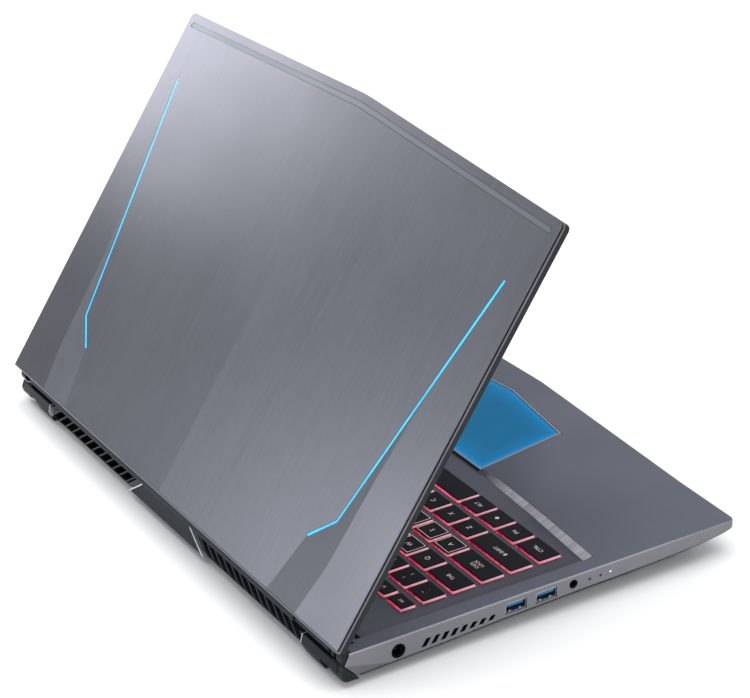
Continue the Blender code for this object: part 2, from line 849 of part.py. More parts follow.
def make_grille(side, slot):
    """Slanted fins between an upper and a lower rail, one casting."""
    name = "left" if side < 0 else "right"
    slant_reach = FIN_SLANT * (REAR_TOP_Z - FIN_LOW_Z)
    block_half_low = BLOCK_LOW_HALF - FIN_SLANT * (FIN_LOW_Z - BLOCK_LOW_Z)
    meshes = []
    x_low = block_half_low + 0.5
    while x_low < GRILLE_OUTER_X + slant_reach:
        fin = [
            (side * x_low, FIN_LOW_Z - 0.3),
            (side * (x_low + FIN_THICKNESS * 1.7), FIN_LOW_Z - 0.3),
            (side * (x_low + FIN_THICKNESS * 1.7 - slant_reach), REAR_TOP_Z),
            (side * (x_low - slant_reach), REAR_TOP_Z),
        ]
        meshes.append(outline_mesh("fin", fin, 120.5, 132.0, "Y"))
        x_low += FIN_PITCH
    fins = join_meshes(f"shape_fins_{name}", meshes)
    top_half = BLOCK_LOW_HALF - FIN_SLANT * (REAR_TOP_Z - BLOCK_LOW_Z)
    rail_face = [
        (side * (top_half + 0.5), REAR_TOP_Z),
        (side * (top_half + 0.5 + FIN_SLANT * 1.6), REAR_TOP_Z - 1.6),
        (side * GRILLE_OUTER_X, REAR_TOP_Z - 1.6),
        (side * GRILLE_OUTER_X, REAR_TOP_Z),
    ]
    grille = prism(f"rear_grille_{name}", rail_face, 121.6, REAR_TOP_Y, "Y", slot)
    low_face = [
        (side * block_half_low + side * 0.5, FIN_LOW_Z),
        (side * GRILLE_OUTER_X, FIN_LOW_Z),
        (side * GRILLE_OUTER_X, FIN_LOW_Z + 1.0),
        (side * (block_half_low + 0.5 - FIN_SLANT), FIN_LOW_Z + 1.0),
    ]
    unite(grille, prism(f"union_rail_{name}", low_face, 121.6, 124.0, "Y"))
    profile = [
        (121.7, FIN_LOW_Z),
        (125.0, FIN_LOW_Z),
        (127.4, FIN_LOW_Z + 0.9),
        (rear_face_y(FIN_LOW_Z + 2.6), FIN_LOW_Z + 2.6),
        (REAR_TOP_Y, REAR_TOP_Z),
        (121.7, REAR_TOP_Z),
    ]
    low, high = sorted((side * 20.0, side * GRILLE_OUTER_X))
    boolean(fins, prism(f"shape_grille_{name}", profile, low, high, "X"), "INTERSECT")
    unite(grille, fins)
    post = [(121.7, FIN_LOW_Z), (127.0, FIN_LOW_Z + 0.8), (rear_face_y(13.8) - 0.2, 13.8), (121.7, 13.8)]
    low, high = sorted((side * (GRILLE_OUTER_X - 1.4), side * (GRILLE_OUTER_X - 0.1)))
    unite(grille, prism(f"union_post_{name}", post, low, high, "X"))
    subtract(grille, hinge_clearance(side, "grille"))
    return grille


def hinge_clearance(side, name):
    """Room for the hinge knuckle and its bracket, with a running gap all round."""
    label = f"{name}_left" if side < 0 else f"{name}_right"
    low, high = sorted((side * (KNUCKLE_X[0] - 1.0), side * 193.5))
    reach = KNUCKLE_RADIUS + 0.6
    corner_low = (low, HINGE_Y - 8.0, HINGE_Z - reach)
    return box(f"cut_hinge_{label}", corner_low, (high, 140.0, HINGE_Z + 12.0))


def make_rear_corner(side, slot):
    """Corner block with two feet-like noses and a hollow between them."""
    name = "left" if side < 0 else "right"

    def span(a, b):
        return sorted((side * a, side * b))

    main = [(121.8, 13.0), (127.0, 13.0), (128.3, 8.6), (126.8, 6.4), (121.8, 6.4)]
    corner = prism(f"rear_corner_{name}", main, *span(158.2, 194.3), "X", slot)
    inner = [(116.0, 7.4), (121.8, 12.6), (127.0, 12.6), (128.4, 7.6), (125.6, 1.8), (116.0, 1.8)]
    outer = [(126.2, 13.6), (128.0, 9.0), (127.2, 5.6), (124.8, 4.3), (117.4, 4.3), (118.6, 6.0)]
    unite(corner, prism(f"union_nose_{name}", inner, *span(158.2, 177.5), "X"))
    unite(corner, prism(f"union_corner_{name}", outer, *span(187.5, 199.4), "X"))
    return corner


# ---------------------------------------------------------------- sockets


def make_usb(name, centre, slot, side=-1):
    y, z = centre
    width, height = USB_SIZE
    face = side * (HALF_WIDTH - 0.3)
    back = side * (HALF_WIDTH - 0.3 - USB_DEPTH)
    low, high = sorted((face, back))
    shell = box(name, (low, y - width / 2, z - height / 2), (high, y + width / 2, z + height / 2), slot)
    start, end = sorted((side * (HALF_WIDTH + 1.0), side * (HALF_WIDTH - 11.0)))
    inside = box(f"cut_{name}", (start, y - 6.05, z - 2.3), (end, y + 6.05, z + 2.3))
    start, end = sorted((side * (HALF_WIDTH - 1.6), side * (HALF_WIDTH - 12.0)))
    tongue = box(f"union_{name}", (start, y - 5.4, z - 0.2), (end, y + 5.4, z + 1.6))
    subtract(shell, inside)
    unite(shell, tongue)
    return shell


def make_ethernet(slot):
    y, z = ETHERNET_CENTRE
    width, height = ETHERNET_SIZE
    shell = box("ethernet_socket", (183.0, y - width / 2, z - height / 2), (199.7, y + width / 2, z + height / 2), slot)
    inside = box("cut_ethernet_socket", (186.0, y - 6.1, z - 2.9), (205.0, y + 6.1, z + 2.9))
    subtract(shell, inside)
    return shell


def make_round_socket(name, centre, radius, bore, pin, slot):
    """A barrel socket in the left wall; pin is the radius of its centre contact, or 0."""
    y, z = centre
    barrel = cylinder(name, (-192.7, y, z), radius, 14.0, "X", slot, 32)
    subtract(barrel, cylinder(f"cut_{name}", (-196.0, y, z), bore, 14.0, "X", segments=32))
    if pin:
        unite(barrel, cylinder(f"union_{name}", (-193.0, y, z), pin, 10.0, "X", segments=16))
    return barrel


def make_status_light(slot):
    """One clear light guide with a pin for each indicator hole."""
    guide = box(
        "status_light_guide",
        (-196.6, STATUS_Y[2] - 2.0, STATUS_Z - 1.0),
        (-194.8, STATUS_Y[0] + 2.0, STATUS_Z + 1.0),
        slot,
    )
    bm = bmesh.new()
    for y in STATUS_Y:
        add_cylinder(bm, (-197.8, y, STATUS_Z), STATUS_RADIUS, 4.0, "X", 12)
    unite(guide, add_object("union_status_pins", mesh_from(bm, "pins")))
    return guide


# ---------------------------------------------------------------- feet


def make_feet(slot):
    for side, name in ((-1, "left"), (1, "right")):
        low, high = sorted((side * 118.0, side * 158.0))
        box(f"foot_front_{name}", (low, -101.0, 0.0), (high, -93.0, BOTTOM_Z - GAP), slot)
        low, high = sorted((side * 160.0, side * 176.0))
        box(f"foot_rear_{name}", (low, 117.0, 0.0), (high, 124.6, 1.5), slot)


# ---------------------------------------------------------------- lid


def lid_outline(shrink=0.0):
    """Lid outline in plan when closed, counter-clockwise, in hinge coordinates."""
    front_side = LID_REAR - LID_SIDE_LENGTH
    front_middle = LID_REAR - LID_MIDDLE_LENGTH
    half = LID_HALF_WIDTH
    left = [
        (-half, LID_REAR),
        (-half, front_side + 3.0),
        (-half + 0.9, front_side + 0.9),
        (-half + 3.0, front_side - 0.1),
        (-0.4, front_middle),
    ]
    return inset(mirrored(left), shrink)


def lid_height(depth):
    return LID_TOP_Z - HINGE_Z - depth


def on_lid(obj, axle):
    obj.parent = axle
    return obj


def lid_plate(name, outline, depths, slot=None):
    return prism(name, outline, lid_height(depths[1]), lid_height(depths[0]), slot=slot)


def light_outline(side, width):
    """Bent strip along the light path, as a closed outline."""
    path = [Vector((side * x, LID_REAR - d)) for x, d in LIGHT_PATH]
    left, right = [], []
    for i, point in enumerate(path):
        before = (point - path[max(i - 1, 0)]).normalized()
        after = (path[min(i + 1, len(path) - 1)] - point).normalized()
        along = (before + after).normalized()
        across = Vector((-along.y, along.x))
        reach = width / 2 / max(0.5, across.dot(Vector((-after.y, after.x))) if after.length else 1.0)
        left.append(tuple(point + across * reach))
        right.append(tuple(point - across * reach))
    return left + right[::-1]


def make_lid(slots, axle):
    cover = lid_plate("lid_cover", lid_outline(), COVER_DEPTH, slots["brushed"])
    frame = lid_plate("lid_frame", lid_outline(0.9), FRAME_DEPTH, slots["dark"])
    trim = lid_plate("lid_edge_trim", lid_outline(0.2), TRIM_DEPTH, slots["metal"])
    hollow = [(-194.0, 5.0), (-194.0, -244.0), (194.0, -244.0), (194.0, 5.0)]
    subtract(trim, prism("cut_trim_hollow", hollow, 0.0, 30.0))
    bezel = lid_plate("lid_bezel", lid_outline(0.4), BEZEL_DEPTH, slots["bezel"])
    screen_half, rear = SCREEN_SIZE[0] / 2, LID_REAR - SCREEN_REAR
    front = rear - SCREEN_SIZE[1]
    subtract(bezel, box("cut_screen", (-screen_half, front, -10.0), (screen_half, rear, 30.0)))
    reach = PANEL_MARGIN + GAP
    pocket_low = (-screen_half - reach, front - reach, lid_height(BEZEL_LIP_DEPTH))
    subtract(bezel, box("cut_panel_pocket", pocket_low, (screen_half + reach, rear + reach, 30.0)))
    panel_low = (-screen_half - PANEL_MARGIN, front - PANEL_MARGIN, lid_height(PANEL_DEPTH[1]))
    panel_high = (screen_half + PANEL_MARGIN, rear + PANEL_MARGIN, lid_height(PANEL_DEPTH[0]))
    panel = box("display_panel", panel_low, panel_high, slots["screen"])
    camera_y = front - 7.5
    camera = cylinder("webcam", (0.0, camera_y, lid_height(6.0)), 2.2, 1.6, slot=slots["screen"])
    subtract(bezel, cylinder("cut_webcam", (0.0, camera_y, lid_height(6.0)), 2.5, 20.0))
    for side in (-1, 1):
        name = "left" if side < 0 else "right"
        subtract(cover, prism(f"cut_light_{name}", light_outline(side, LIGHT_WIDTH + 2 * LIGHT_CLEARANCE), 0.0, 30.0))
        light = lid_plate(f"lid_light_{name}", light_outline(side, LIGHT_WIDTH), (0.1, 0.9), slots["light"])
        on_lid(light, axle)
        low, high = sorted((side * (KNUCKLE_X[0] - 0.6), side * (KNUCKLE_X[1] + 0.6)))
        subtract(bezel, box(f"cut_knuckle_{name}", (low, -13.0, -10.0), (high, 10.0, 30.0)))
        on_lid(make_hinge_arm(side, slots["steel"]), axle)
    for piece in (cover, frame, trim, bezel, panel, camera):
        on_lid(piece, axle)


def make_hinge_arm(side, slot):
    """Knuckle round the hinge axis, with a neck into the lid."""
    name = "left" if side < 0 else "right"
    low, high = sorted((side * KNUCKLE_X[0], side * KNUCKLE_X[1]))
    middle = ((low + high) / 2, 0.0, 0.0)
    top = lid_height(TRIM_DEPTH[0])
    neck = [(-3.4, 0.0), (3.4, 0.0), (-1.8, 4.6), (-1.8, top), (-12.0, top), (-12.0, 5.4), (-5.0, 4.4)]
    arm = prism(f"hinge_arm_{name}", neck, low, high, "X", slot)
    unite(arm, cylinder(f"union_knuckle_{name}", middle, KNUCKLE_RADIUS, high - low, "X", segments=32))
    bore = cylinder(f"cut_knuckle_bore_{name}", middle, KNUCKLE_BORE, high - low + 4.0, "X")
    subtract(arm, bore)
    return arm


def make_hinge_base(side, slot):
    """Bracket on the base with the hinge pin that runs through the knuckle."""
    name = "left" if side < 0 else "right"
    low, high = sorted((side * (KNUCKLE_X[1] + 1.2), side * (KNUCKLE_X[1] + 4.2)))
    plate = [
        (HINGE_Y + 3.0, HINGE_Z - 2.6),
        (HINGE_Y + 3.0, HINGE_Z + 2.6),
        (HINGE_Y - 3.0, HINGE_Z + 2.6),
        (108.0, 13.4),
        (101.0, 13.4),
        (101.0, 4.4),
        (108.0, 4.4),
        (114.0, 9.0),
        (HINGE_Y - 2.0, HINGE_Z - 3.6),
    ]
    bracket = prism(f"hinge_base_{name}", plate, low, high, "X", slot)
    start, end = side * (KNUCKLE_X[0] + 3.0), side * (KNUCKLE_X[1] + 2.5)
    pin = cylinder(
        f"union_hinge_pin_{name}",
        ((start + end) / 2, HINGE_Y, HINGE_Z),
        PIN_RADIUS,
        abs(end - start),
        "X",
    )
    unite(bracket, pin)
    return bracket


# ---------------------------------------------------------------- assembly


def main():
    slots = {
        "brushed": material("brushed_gunmetal", (0.19, 0.20, 0.23), 0.36, 0.85),
        "metal": material("side_metal", (0.24, 0.24, 0.27), 0.42, 0.7),
        "steel": material("dark_steel", (0.06, 0.065, 0.07), 0.5, 0.4),
        "dark": material("dark_plastic", (0.035, 0.04, 0.045), 0.6),
        "bezel": material("bezel_plastic", (0.03, 0.033, 0.038), 0.55),
        "key": material("key_plastic", (0.012, 0.013, 0.018), 0.5),
        "light": material("light_guide", (0.05, 0.6, 0.95), 0.3, 0.0, 2.0),
        "pad": material("trackpad_glass", (0.01, 0.16, 0.36), 0.35, 0.0, 0.4),
        "screen": material("screen_glass", (0.01, 0.01, 0.012), 0.2),
        "rubber": material("foot_rubber", (0.02, 0.02, 0.02), 0.85),
        "board": material("circuit_board", (0.02, 0.06, 0.04), 0.6),
        "battery": material("battery_pack", (0.03, 0.03, 0.035), 0.6),
        "copper": material("copper", (0.6, 0.3, 0.18), 0.35, 1.0),
        "socket": material("socket_metal", (0.5, 0.5, 0.5), 0.35, 1.0),
        "clear": material("clear_guide", (0.85, 0.9, 0.95), 0.2, 0.0, 0.5),
    }
    make_top_case(slots["brushed"])
    make_bottom_cover(slots["dark"])
    make_keyboard_plate(slots["steel"])
    make_keycap_field(slots["key"])
    make_keys(slots["key"])
    make_trackpad(slots["pad"])
    make_trackpad_bezel(slots["metal"])
    make_power_button(slots["dark"])
    make_inside(slots)
    make_heat_spreader(slots["copper"])
    make_centre_block(slots["dark"])
    for side in (-1, 1):
        make_fan(side, slots["dark"], slots["dark"])
        make_heatsink(side, slots["copper"])
        make_grille(side, slots["dark"])
        make_rear_corner(side, slots["dark"])
        make_hinge_base(side, slots["steel"])
    make_usb("usb_socket_rear", USB_CENTRES[0], slots["socket"])
    make_usb("usb_socket_front", USB_CENTRES[1], slots["socket"])
    make_ethernet(slots["socket"])
    make_round_socket("audio_socket", AUDIO_CENTRE, AUDIO_RADIUS, 1.8, 0.0, slots["dark"])
    make_round_socket("power_socket", DC_CENTRE, DC_RADIUS, 3.2, 0.9, slots["dark"])
    make_status_light(slots["clear"])
    make_feet(slots["rubber"])
    axle = bpy.data.objects.new("lid_hinge_axis", None)
    PARTS.objects.link(axle)
    axle.location = Vector((0.0, HINGE_Y, HINGE_Z)) * MM
    axle.rotation_euler.x = -math.radians(LID_OPEN_DEGREES)
    make_lid(slots, axle)
    follow_the_lid(axle)


def follow_the_lid(axle):
    """The cutters of the lid's pieces hang on the same axle as the pieces."""
    for piece in list(axle.children):
        for modifier in piece.modifiers:
            modifier.object.parent = axle


clear_scene()
PARTS = new_collection("laptop_computer")
CUTTERS = new_collection("cutters", hidden=True)
main()
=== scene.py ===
"""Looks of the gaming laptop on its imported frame: visible surfaces, materials, floor, lights and camera.

Lengths are in millimetres and the helpers turn them into metres. A base piece is drawn in the frame's
own axes. A lid piece is drawn closed, about the hinge axis, and its object is turned open on that axis.
"""

import json
import math

import bmesh
import bpy
from mathutils import Matrix, Vector

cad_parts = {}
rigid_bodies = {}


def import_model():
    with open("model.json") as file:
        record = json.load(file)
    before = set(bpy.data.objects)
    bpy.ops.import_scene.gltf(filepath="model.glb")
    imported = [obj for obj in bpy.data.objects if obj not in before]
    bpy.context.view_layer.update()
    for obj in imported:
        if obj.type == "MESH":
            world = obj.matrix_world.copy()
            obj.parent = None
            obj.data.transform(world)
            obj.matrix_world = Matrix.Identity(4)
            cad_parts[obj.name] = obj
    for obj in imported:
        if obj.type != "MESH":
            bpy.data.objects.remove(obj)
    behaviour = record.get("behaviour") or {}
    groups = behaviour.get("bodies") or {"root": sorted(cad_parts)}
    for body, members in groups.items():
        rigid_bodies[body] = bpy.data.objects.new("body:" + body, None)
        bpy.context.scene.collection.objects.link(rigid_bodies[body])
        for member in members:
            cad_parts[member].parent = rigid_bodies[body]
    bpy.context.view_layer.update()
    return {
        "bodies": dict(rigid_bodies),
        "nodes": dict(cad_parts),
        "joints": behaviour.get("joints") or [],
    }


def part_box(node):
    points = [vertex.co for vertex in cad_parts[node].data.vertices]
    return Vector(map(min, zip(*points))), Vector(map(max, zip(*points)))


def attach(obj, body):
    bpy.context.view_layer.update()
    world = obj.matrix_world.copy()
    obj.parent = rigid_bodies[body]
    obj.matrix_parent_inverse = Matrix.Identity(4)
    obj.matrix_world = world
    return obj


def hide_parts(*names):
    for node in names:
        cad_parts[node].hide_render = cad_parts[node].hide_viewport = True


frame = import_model()

MM = 0.001
PIECES = bpy.data.collections.new("laptop_pieces")
bpy.context.scene.collection.children.link(PIECES)
SIDES = ((-1, "left"), (1, "right"))
LOOKS = {}

# ---- places read from the frame


def box_mm(node):
    low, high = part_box(node)
    return Vector(low) / MM, Vector(high) / MM


CASE_HIGH = box_mm("top_case")[1]
HALF_WIDTH = CASE_HIGH.x
DECK_Z = CASE_HIGH.z
HINGE = Vector((0.0, 123.33, 17.46))
LID_JOINT = next(joint for joint in frame["joints"] if joint["name"] == "lid_hinge")
LID_OPEN = -math.radians(LID_JOINT["range_deg"][0])
LID_TURN = Matrix.Translation(HINGE * MM) @ Matrix.Rotation(-LID_OPEN, 4, "X")
LID_HALF = box_mm("lid_cover")[1].x
LID_REAR = -1.3
LID_TOP = 11.14
LID_SIDE_LENGTH = 247.07
LID_MIDDLE_LENGTH = 254.85

# Lid facets, as (|x|, distance from the hinge edge): the valley that holds the light, and the outer ridge.
VALLEY = ((126.0, 0.0), (135.8, 38.2), (152.2, 54.3), (181.1, 207.0), (186.5, 250.0))
RIDGE = ((156.6, 0.0), (162.4, 32.3), (164.5, 86.2), (169.6, 146.0), (181.1, 207.0), (186.5, 250.0))
LIGHT_PATH = VALLEY[1:4]
LIGHT_WIDTH = 1.8

KEY_LEFT_X = -177.2
KEY_RIGHT_X = 98.6
PAD_RIGHT_X = 177.2
KEY_PITCH = 18.6
KEY_WIDTH = 16.45
KEY_DEPTH = 14.4
ROW_PITCH = 18.4
FIRST_ROW_Y = -23.5
FUNCTION_ROW_Y = 69.2
FUNCTION_WIDTH = 14.42
FUNCTION_DEPTH = 9.0
FUNCTION_PITCH = 17.26
RECESS_Z = 19.4


# ---- mesh helpers


def add_piece(name, mesh, body, looks, replaces=(), on_lid=False):
    """Object that rides a body; looks names its materials, in order, in one string."""
    obj = bpy.data.objects.new(name, mesh)
    PIECES.objects.link(obj)
    for look in looks.split():
        mesh.materials.append(LOOKS[look])
    if on_lid:
        obj.matrix_world = LID_TURN
    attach(obj, body)
    if replaces:
        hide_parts(*replaces)
    return obj


def finish_mesh(bm, name):
    mesh = bpy.data.meshes.new(name)
    bm.to_mesh(mesh)
    bm.free()
    return mesh


def add_solid(name, bm, body, looks, replaces=(), on_lid=False):
    """Piece of closed solids, with their faces turned outwards."""
    bmesh.ops.recalc_face_normals(bm, faces=bm.faces)
    return add_piece(name, finish_mesh(bm, name), body, looks, replaces, on_lid)


def block(bm, low, high, index=0):
    """Axis-aligned block between two corners in millimetres."""
    size = [(b - a) * MM for a, b in zip(low, high)]
    middle = [(a + b) / 2 * MM for a, b in zip(low, high)]
    place = Matrix.Translation(middle) @ Matrix.Diagonal((*size, 1.0))
    verts = bmesh.ops.create_cube(bm, size=1.0, matrix=place)["verts"]
    for face in {face for vert in verts for face in vert.link_faces}:
        face.material_index = index


def drum(bm, centre, radius, length, segments=32, top=None, index=0, along_x=False):
    """Cylinder along Z or X; another top radius makes it a cone."""
    place = Matrix.Translation(Vector(centre) * MM)
    if along_x:
        place @= Matrix.Rotation(math.radians(90), 4, "Y")
    verts = bmesh.ops.create_cone(
        bm,
        cap_ends=True,
        segments=segments,
        radius1=radius * MM,
        radius2=(radius if top is None else top) * MM,
        depth=length * MM,
        matrix=place,
    )["verts"]
    for face in {face for vert in verts for face in vert.link_faces}:
        face.material_index = index


def ring(bm, points):
    return [bm.verts.new(Vector(point) * MM) for point in points]


def flat_ring(bm, outline, z):
    return ring(bm, [(x, y, z) for x, y in outline])


def bridge(bm, rings, index=0, smooth=False):
    """Faces between each closed ring and the next."""
    for low, high in zip(rings, rings[1:]):
        for i in range(len(low)):
            j = (i + 1) % len(low)
            face = bm.faces.new((low[i], low[j], high[j], high[i]))
            face.material_index = index
            face.smooth = smooth


def extrude_outline(bm, outline, low, high, axis="Z", index=0):
    """Closed prism of a flat outline, between two places along an axis: X takes (y, z) and Y takes (x, z)."""
    place = {
        "X": lambda u, v, w: (w, u, v),
        "Y": lambda u, v, w: (u, w, v),
        "Z": lambda u, v, w: (u, v, w),
    }[axis]
    rings = [ring(bm, [place(u, v, w) for u, v in outline]) for w in (low, high)]
    made = [bm.faces.new(rings[0]), bm.faces.new(rings[1][::-1])]
    for i in range(len(outline)):
        j = (i + 1) % len(outline)
        made.append(bm.faces.new((rings[0][j], rings[0][i], rings[1][i], rings[1][j])))
    for face in made:
        face.material_index = index
    return rings[0] + rings[1]


def prism_mesh(name, outline, low, high, axis="Z"):
    bm = bmesh.new()
    extrude_outline(bm, outline, low, high, axis)
    bmesh.ops.recalc_face_normals(bm, faces=bm.faces)
    return finish_mesh(bm, name)


def block_mesh(low, high):
    bm = bmesh.new()
    block(bm, low, high)
    return finish_mesh(bm, "block")


def round_edges(obj, width, segments=2, angle=35.0, smooth=None):
    """Bevels a piece's sharp edges; smooth is the angle under which its faces shade as one."""
    modifier = obj.modifiers.new("rounded", "BEVEL")
    modifier.width = width * MM
    modifier.segments = segments
    modifier.limit_method = "ANGLE"
    modifier.angle_limit = math.radians(angle)
    if smooth:
        obj.data.shade_smooth()
        obj.data.set_sharp_from_angle(angle=math.radians(smooth))


def cut(obj, tool, operation="DIFFERENCE"):
    """Boolean of a piece with a tool mesh drawn in the same axes; the tool is used up."""
    helper = bpy.data.objects.new("tool", tool)
    bpy.context.scene.collection.objects.link(helper)
    helper.matrix_world = obj.matrix_world.copy()
    modifier = obj.modifiers.new("cut", "BOOLEAN")
    modifier.operation = operation
    modifier.object = helper
    modifier.solver = "EXACT"
    bpy.context.view_layer.update()
    graph = bpy.context.evaluated_depsgraph_get()
    mesh = bpy.data.meshes.new_from_object(obj.evaluated_get(graph))
    mesh.name = obj.name
    obj.modifiers.clear()
    obj.data = mesh
    bpy.data.objects.remove(helper, do_unlink=True)


def refined(node, body, looks, width, segments, choose=None):
    """A finer copy of a CAD node: flat faces joined up again, every edge rounded."""
    bm = bmesh.new()
    bm.from_mesh(frame["nodes"][node].data)
    bmesh.ops.remove_doubles(bm, verts=bm.verts, dist=2e-6)
    bmesh.ops.dissolve_limit(bm, angle_limit=math.radians(0.6), verts=bm.verts, edges=bm.edges)
    bmesh.ops.recalc_face_normals(bm, faces=bm.faces)
    for face in bm.faces:
        face.material_index = choose(face) if choose else 0
        face.smooth = True
    obj = add_piece(f"{node}_finish", finish_mesh(bm, node), body, looks, (node,))
    round_edges(obj, width, segments)
    obj.data.set_sharp_from_angle(angle=math.radians(35.0))


def rounded_rectangle(x0, x1, y0, y1, radius, steps=3):
    corners = ((x1 - radius, y1 - radius, 0), (x0 + radius, y1 - radius, 90))
    corners += ((x0 + radius, y0 + radius, 180), (x1 - radius, y0 + radius, 270))
    points = []
    for cx, cy, start in corners:
        for step in range(steps + 1):
            angle = math.radians(start + 90 * step / steps)
            points.append((cx + radius * math.cos(angle), cy + radius * math.sin(angle)))
    return points


# ---- materials


class Shader:
    """One material's nodes, with short calls to add and join them."""

    def __init__(self, name):
        self.material = bpy.data.materials.new(name)
        self.material.use_nodes = True
        self.tree = self.material.node_tree
        self.surface = self.tree.nodes["Principled BSDF"]

    def fixed(self, **values):
        for key, value in values.items():
            self.surface.inputs[key.replace("_", " ")].default_value = value
        return self

    def add(self, kind, inputs=None, **settings):
        node = self.tree.nodes.new(kind)
        for key, value in settings.items():
            setattr(node, key, value)
        for key, value in (inputs or {}).items():
            if isinstance(value, bpy.types.NodeSocket):
                self.tree.links.new(value, node.inputs[key])
            else:
                node.inputs[key].default_value = value
        return node

    def join(self, source, target):
        self.tree.links.new(source, self.surface.inputs[target])

    def place(self, scale=(1.0, 1.0, 1.0)):
        where = self.add("ShaderNodeTexCoord").outputs["Object"]
        return self.add("ShaderNodeMapping", {"Vector": where, "Scale": scale}).outputs["Vector"]

    def noise(self, scale, stretch=(1.0, 1.0, 1.0), detail=3.0):
        inputs = {"Vector": self.place(stretch), "Scale": scale, "Detail": detail, "Roughness": 0.5}
        return self.add("ShaderNodeTexNoise", inputs).outputs["Fac"]

    def axes(self):
        where = self.add("ShaderNodeTexCoord").outputs["Object"]
        return self.add("ShaderNodeSeparateXYZ", {0: where}).outputs

    def spread(self, value, low, high, start=0.3, end=0.7):
        inputs = {"Value": value, "From Min": start, "From Max": end, "To Min": low, "To Max": high}
        return self.add("ShaderNodeMapRange", inputs).outputs["Result"]

    def math(self, operation, first, second=0.0):
        return self.add("ShaderNodeMath", {0: first, 1: second}, operation=operation).outputs[0]

    def mix(self, amount, first, second, blend="MIX"):
        node = self.add("ShaderNodeMix", {"Factor": amount}, data_type="RGBA", blend_type=blend)
        for index, value in ((6, first), (7, second)):
            if isinstance(value, bpy.types.NodeSocket):
                self.tree.links.new(value, node.inputs[index])
            else:
                node.inputs[index].default_value = (*value, 1.0)
        return node.outputs[2]

    def vary(self, pattern, color, amount, start=0.3, end=0.7):
        """The colour, darker or lighter by an amount as a pattern goes."""
        share = self.spread(pattern, 0.0, 1.0, start, end)
        return self.mix(share, scaled(color, 1 - amount), scaled(color, 1 + amount))

    def base(self, color, painted_shading=None):
        """Joins the base colour, times the grey factor of painted shading that a function gives."""
        if painted_shading:
            color = self.mix(1.0, color, painted_shading(self), "MULTIPLY")
        self.join(color, "Base Color")

    def gloss(self, roughness, fine, broad, reach):
        """Joins a roughness that two patterns make uneven."""
        uneven = self.math("ADD", self.spread(fine, -0.05, 0.05), self.spread(broad, -reach, reach))
        self.join(self.math("ADD", uneven, roughness), "Roughness")

    def bump(self, height, distance, strength=1.0):
        inputs = {"Height": height, "Distance": distance * MM, "Strength": strength}
        self.join(self.add("ShaderNodeBump", inputs).outputs["Normal"], "Normal")

    def edges(self, radius):
        """1 along sharp edges and 0 on flat faces."""
        soft = self.add("ShaderNodeBevel", {"Radius": radius * MM}, samples=4).outputs["Normal"]
        hard = self.add("ShaderNodeNewGeometry").outputs["Normal"]
        same = self.add("ShaderNodeVectorMath", {0: soft, 1: hard}, operation="DOT_PRODUCT").outputs["Value"]
        return self.spread(same, 1.0, 0.0, 0.75, 0.97)


def scaled(color, factor):
    return tuple(min(1.0, channel * factor) for channel in color)


def plain(
    name, color, roughness, metallic=0.0, grain=250.0, depth=0.02, contrast=0.12, wear=0.0, painted_shading=None, **fixed
):
    """Moulded, cast or painted surface: mottled colour, uneven gloss, fine relief, and sharp edges painted
    lighter as a highlight.
    """
    made = Shader(name).fixed(Metallic=metallic, **fixed)
    fine = made.noise(grain * 10, detail=4.0)
    broad = made.noise(grain / 10, detail=2.0)
    color_now = made.vary(broad, color, contrast)
    # Sharp edges are mixed towards a much lighter colour: a painted highlight along them.
    if wear:
        color_now = made.mix(made.math("MULTIPLY", made.edges(0.5), wear), color_now, scaled(color, 2.6))
    made.base(color_now, painted_shading)
    made.gloss(roughness, fine, broad, 0.04)
    made.bump(fine, depth)
    return made.material


def brushed(name, color, roughness, along, metallic=0.9, streak=0.10, painted_shading=None):
    """Brushed metal: long fine scratches along one axis in colour, gloss and relief."""
    made = Shader(name).fixed(Metallic=metallic)
    stretch = tuple(0.02 if axis == along else 1.0 for axis in "XYZ")
    fine = made.noise(3500.0, stretch, detail=2.0)
    wide = made.noise(500.0, tuple(s * 0.6 for s in stretch), detail=3.0)
    broad = made.noise(14.0, detail=2.0)
    grain = made.math("ADD", made.math("MULTIPLY", fine, 0.78), made.math("MULTIPLY", wide, 0.22))
    color_now = made.vary(grain, color, streak, 0.36, 0.64)
    made.base(made.mix(made.spread(broad, 0.0, 0.2), color_now, scaled(color, 1.06)), painted_shading)
    made.gloss(roughness, grain, broad, 0.03)
    made.bump(grain, 0.004, 0.6)
    return made.material


def lit(name, color, strength, mottle=0.0, scale=400.0, body=None):
    """Surface with its own light, even or mottled."""
    made = Shader(name).fixed(Base_Color=(*(body or color), 1.0), Roughness=0.3, Emission_Strength=strength)
    made.join(made.vary(made.noise(scale, detail=2.0), color, mottle), "Emission Color")
    made.bump(made.noise(scale * 5), 0.01)
    return made.material


# ---- lid

SHELL_START = 1.5
SHELL_DEPTH = 1.1
VALLEY_DEPTH = 0.42
EDGE_DEPTH = 0.55
LID_ROWS = (SHELL_START, 16.0, 32.3, 38.2, 46.0, 54.3, 70.0, 86.2, 116.0, 146.0, 176.0, 207.0)
TAIL_ROWS = 4
TAIL_END = 247.0
RIDGE_DEPTH = 0.10
RIDGE_RISE = 0.30
RISE_LENGTH = 146.0
FACET_PARTS = (6, 2, 3)
CORNER_BEVEL = 3.2


def along(path, distance):
    """x of a facet line at a distance from the hinge edge."""
    for (x0, d0), (x1, d1) in zip(path, path[1:]):
        if distance <= d1:
            return x0 + (x1 - x0) * (distance - d0) / (d1 - d0)
    return path[-1][0]


def lid_top_length(x):
    return LID_MIDDLE_LENGTH - (LID_MIDDLE_LENGTH - LID_SIDE_LENGTH) * abs(x) / LID_HALF


def facet_depth(column, distance):
    """Depth below the lid's highest plane of the four facet lines: middle, valley, ridge and side."""
    rise = min(1.0, distance / RISE_LENGTH)
    ridge = RIDGE_DEPTH + RIDGE_RISE * rise
    return (0.0, VALLEY_DEPTH, min(VALLEY_DEPTH, ridge), EDGE_DEPTH)[column]


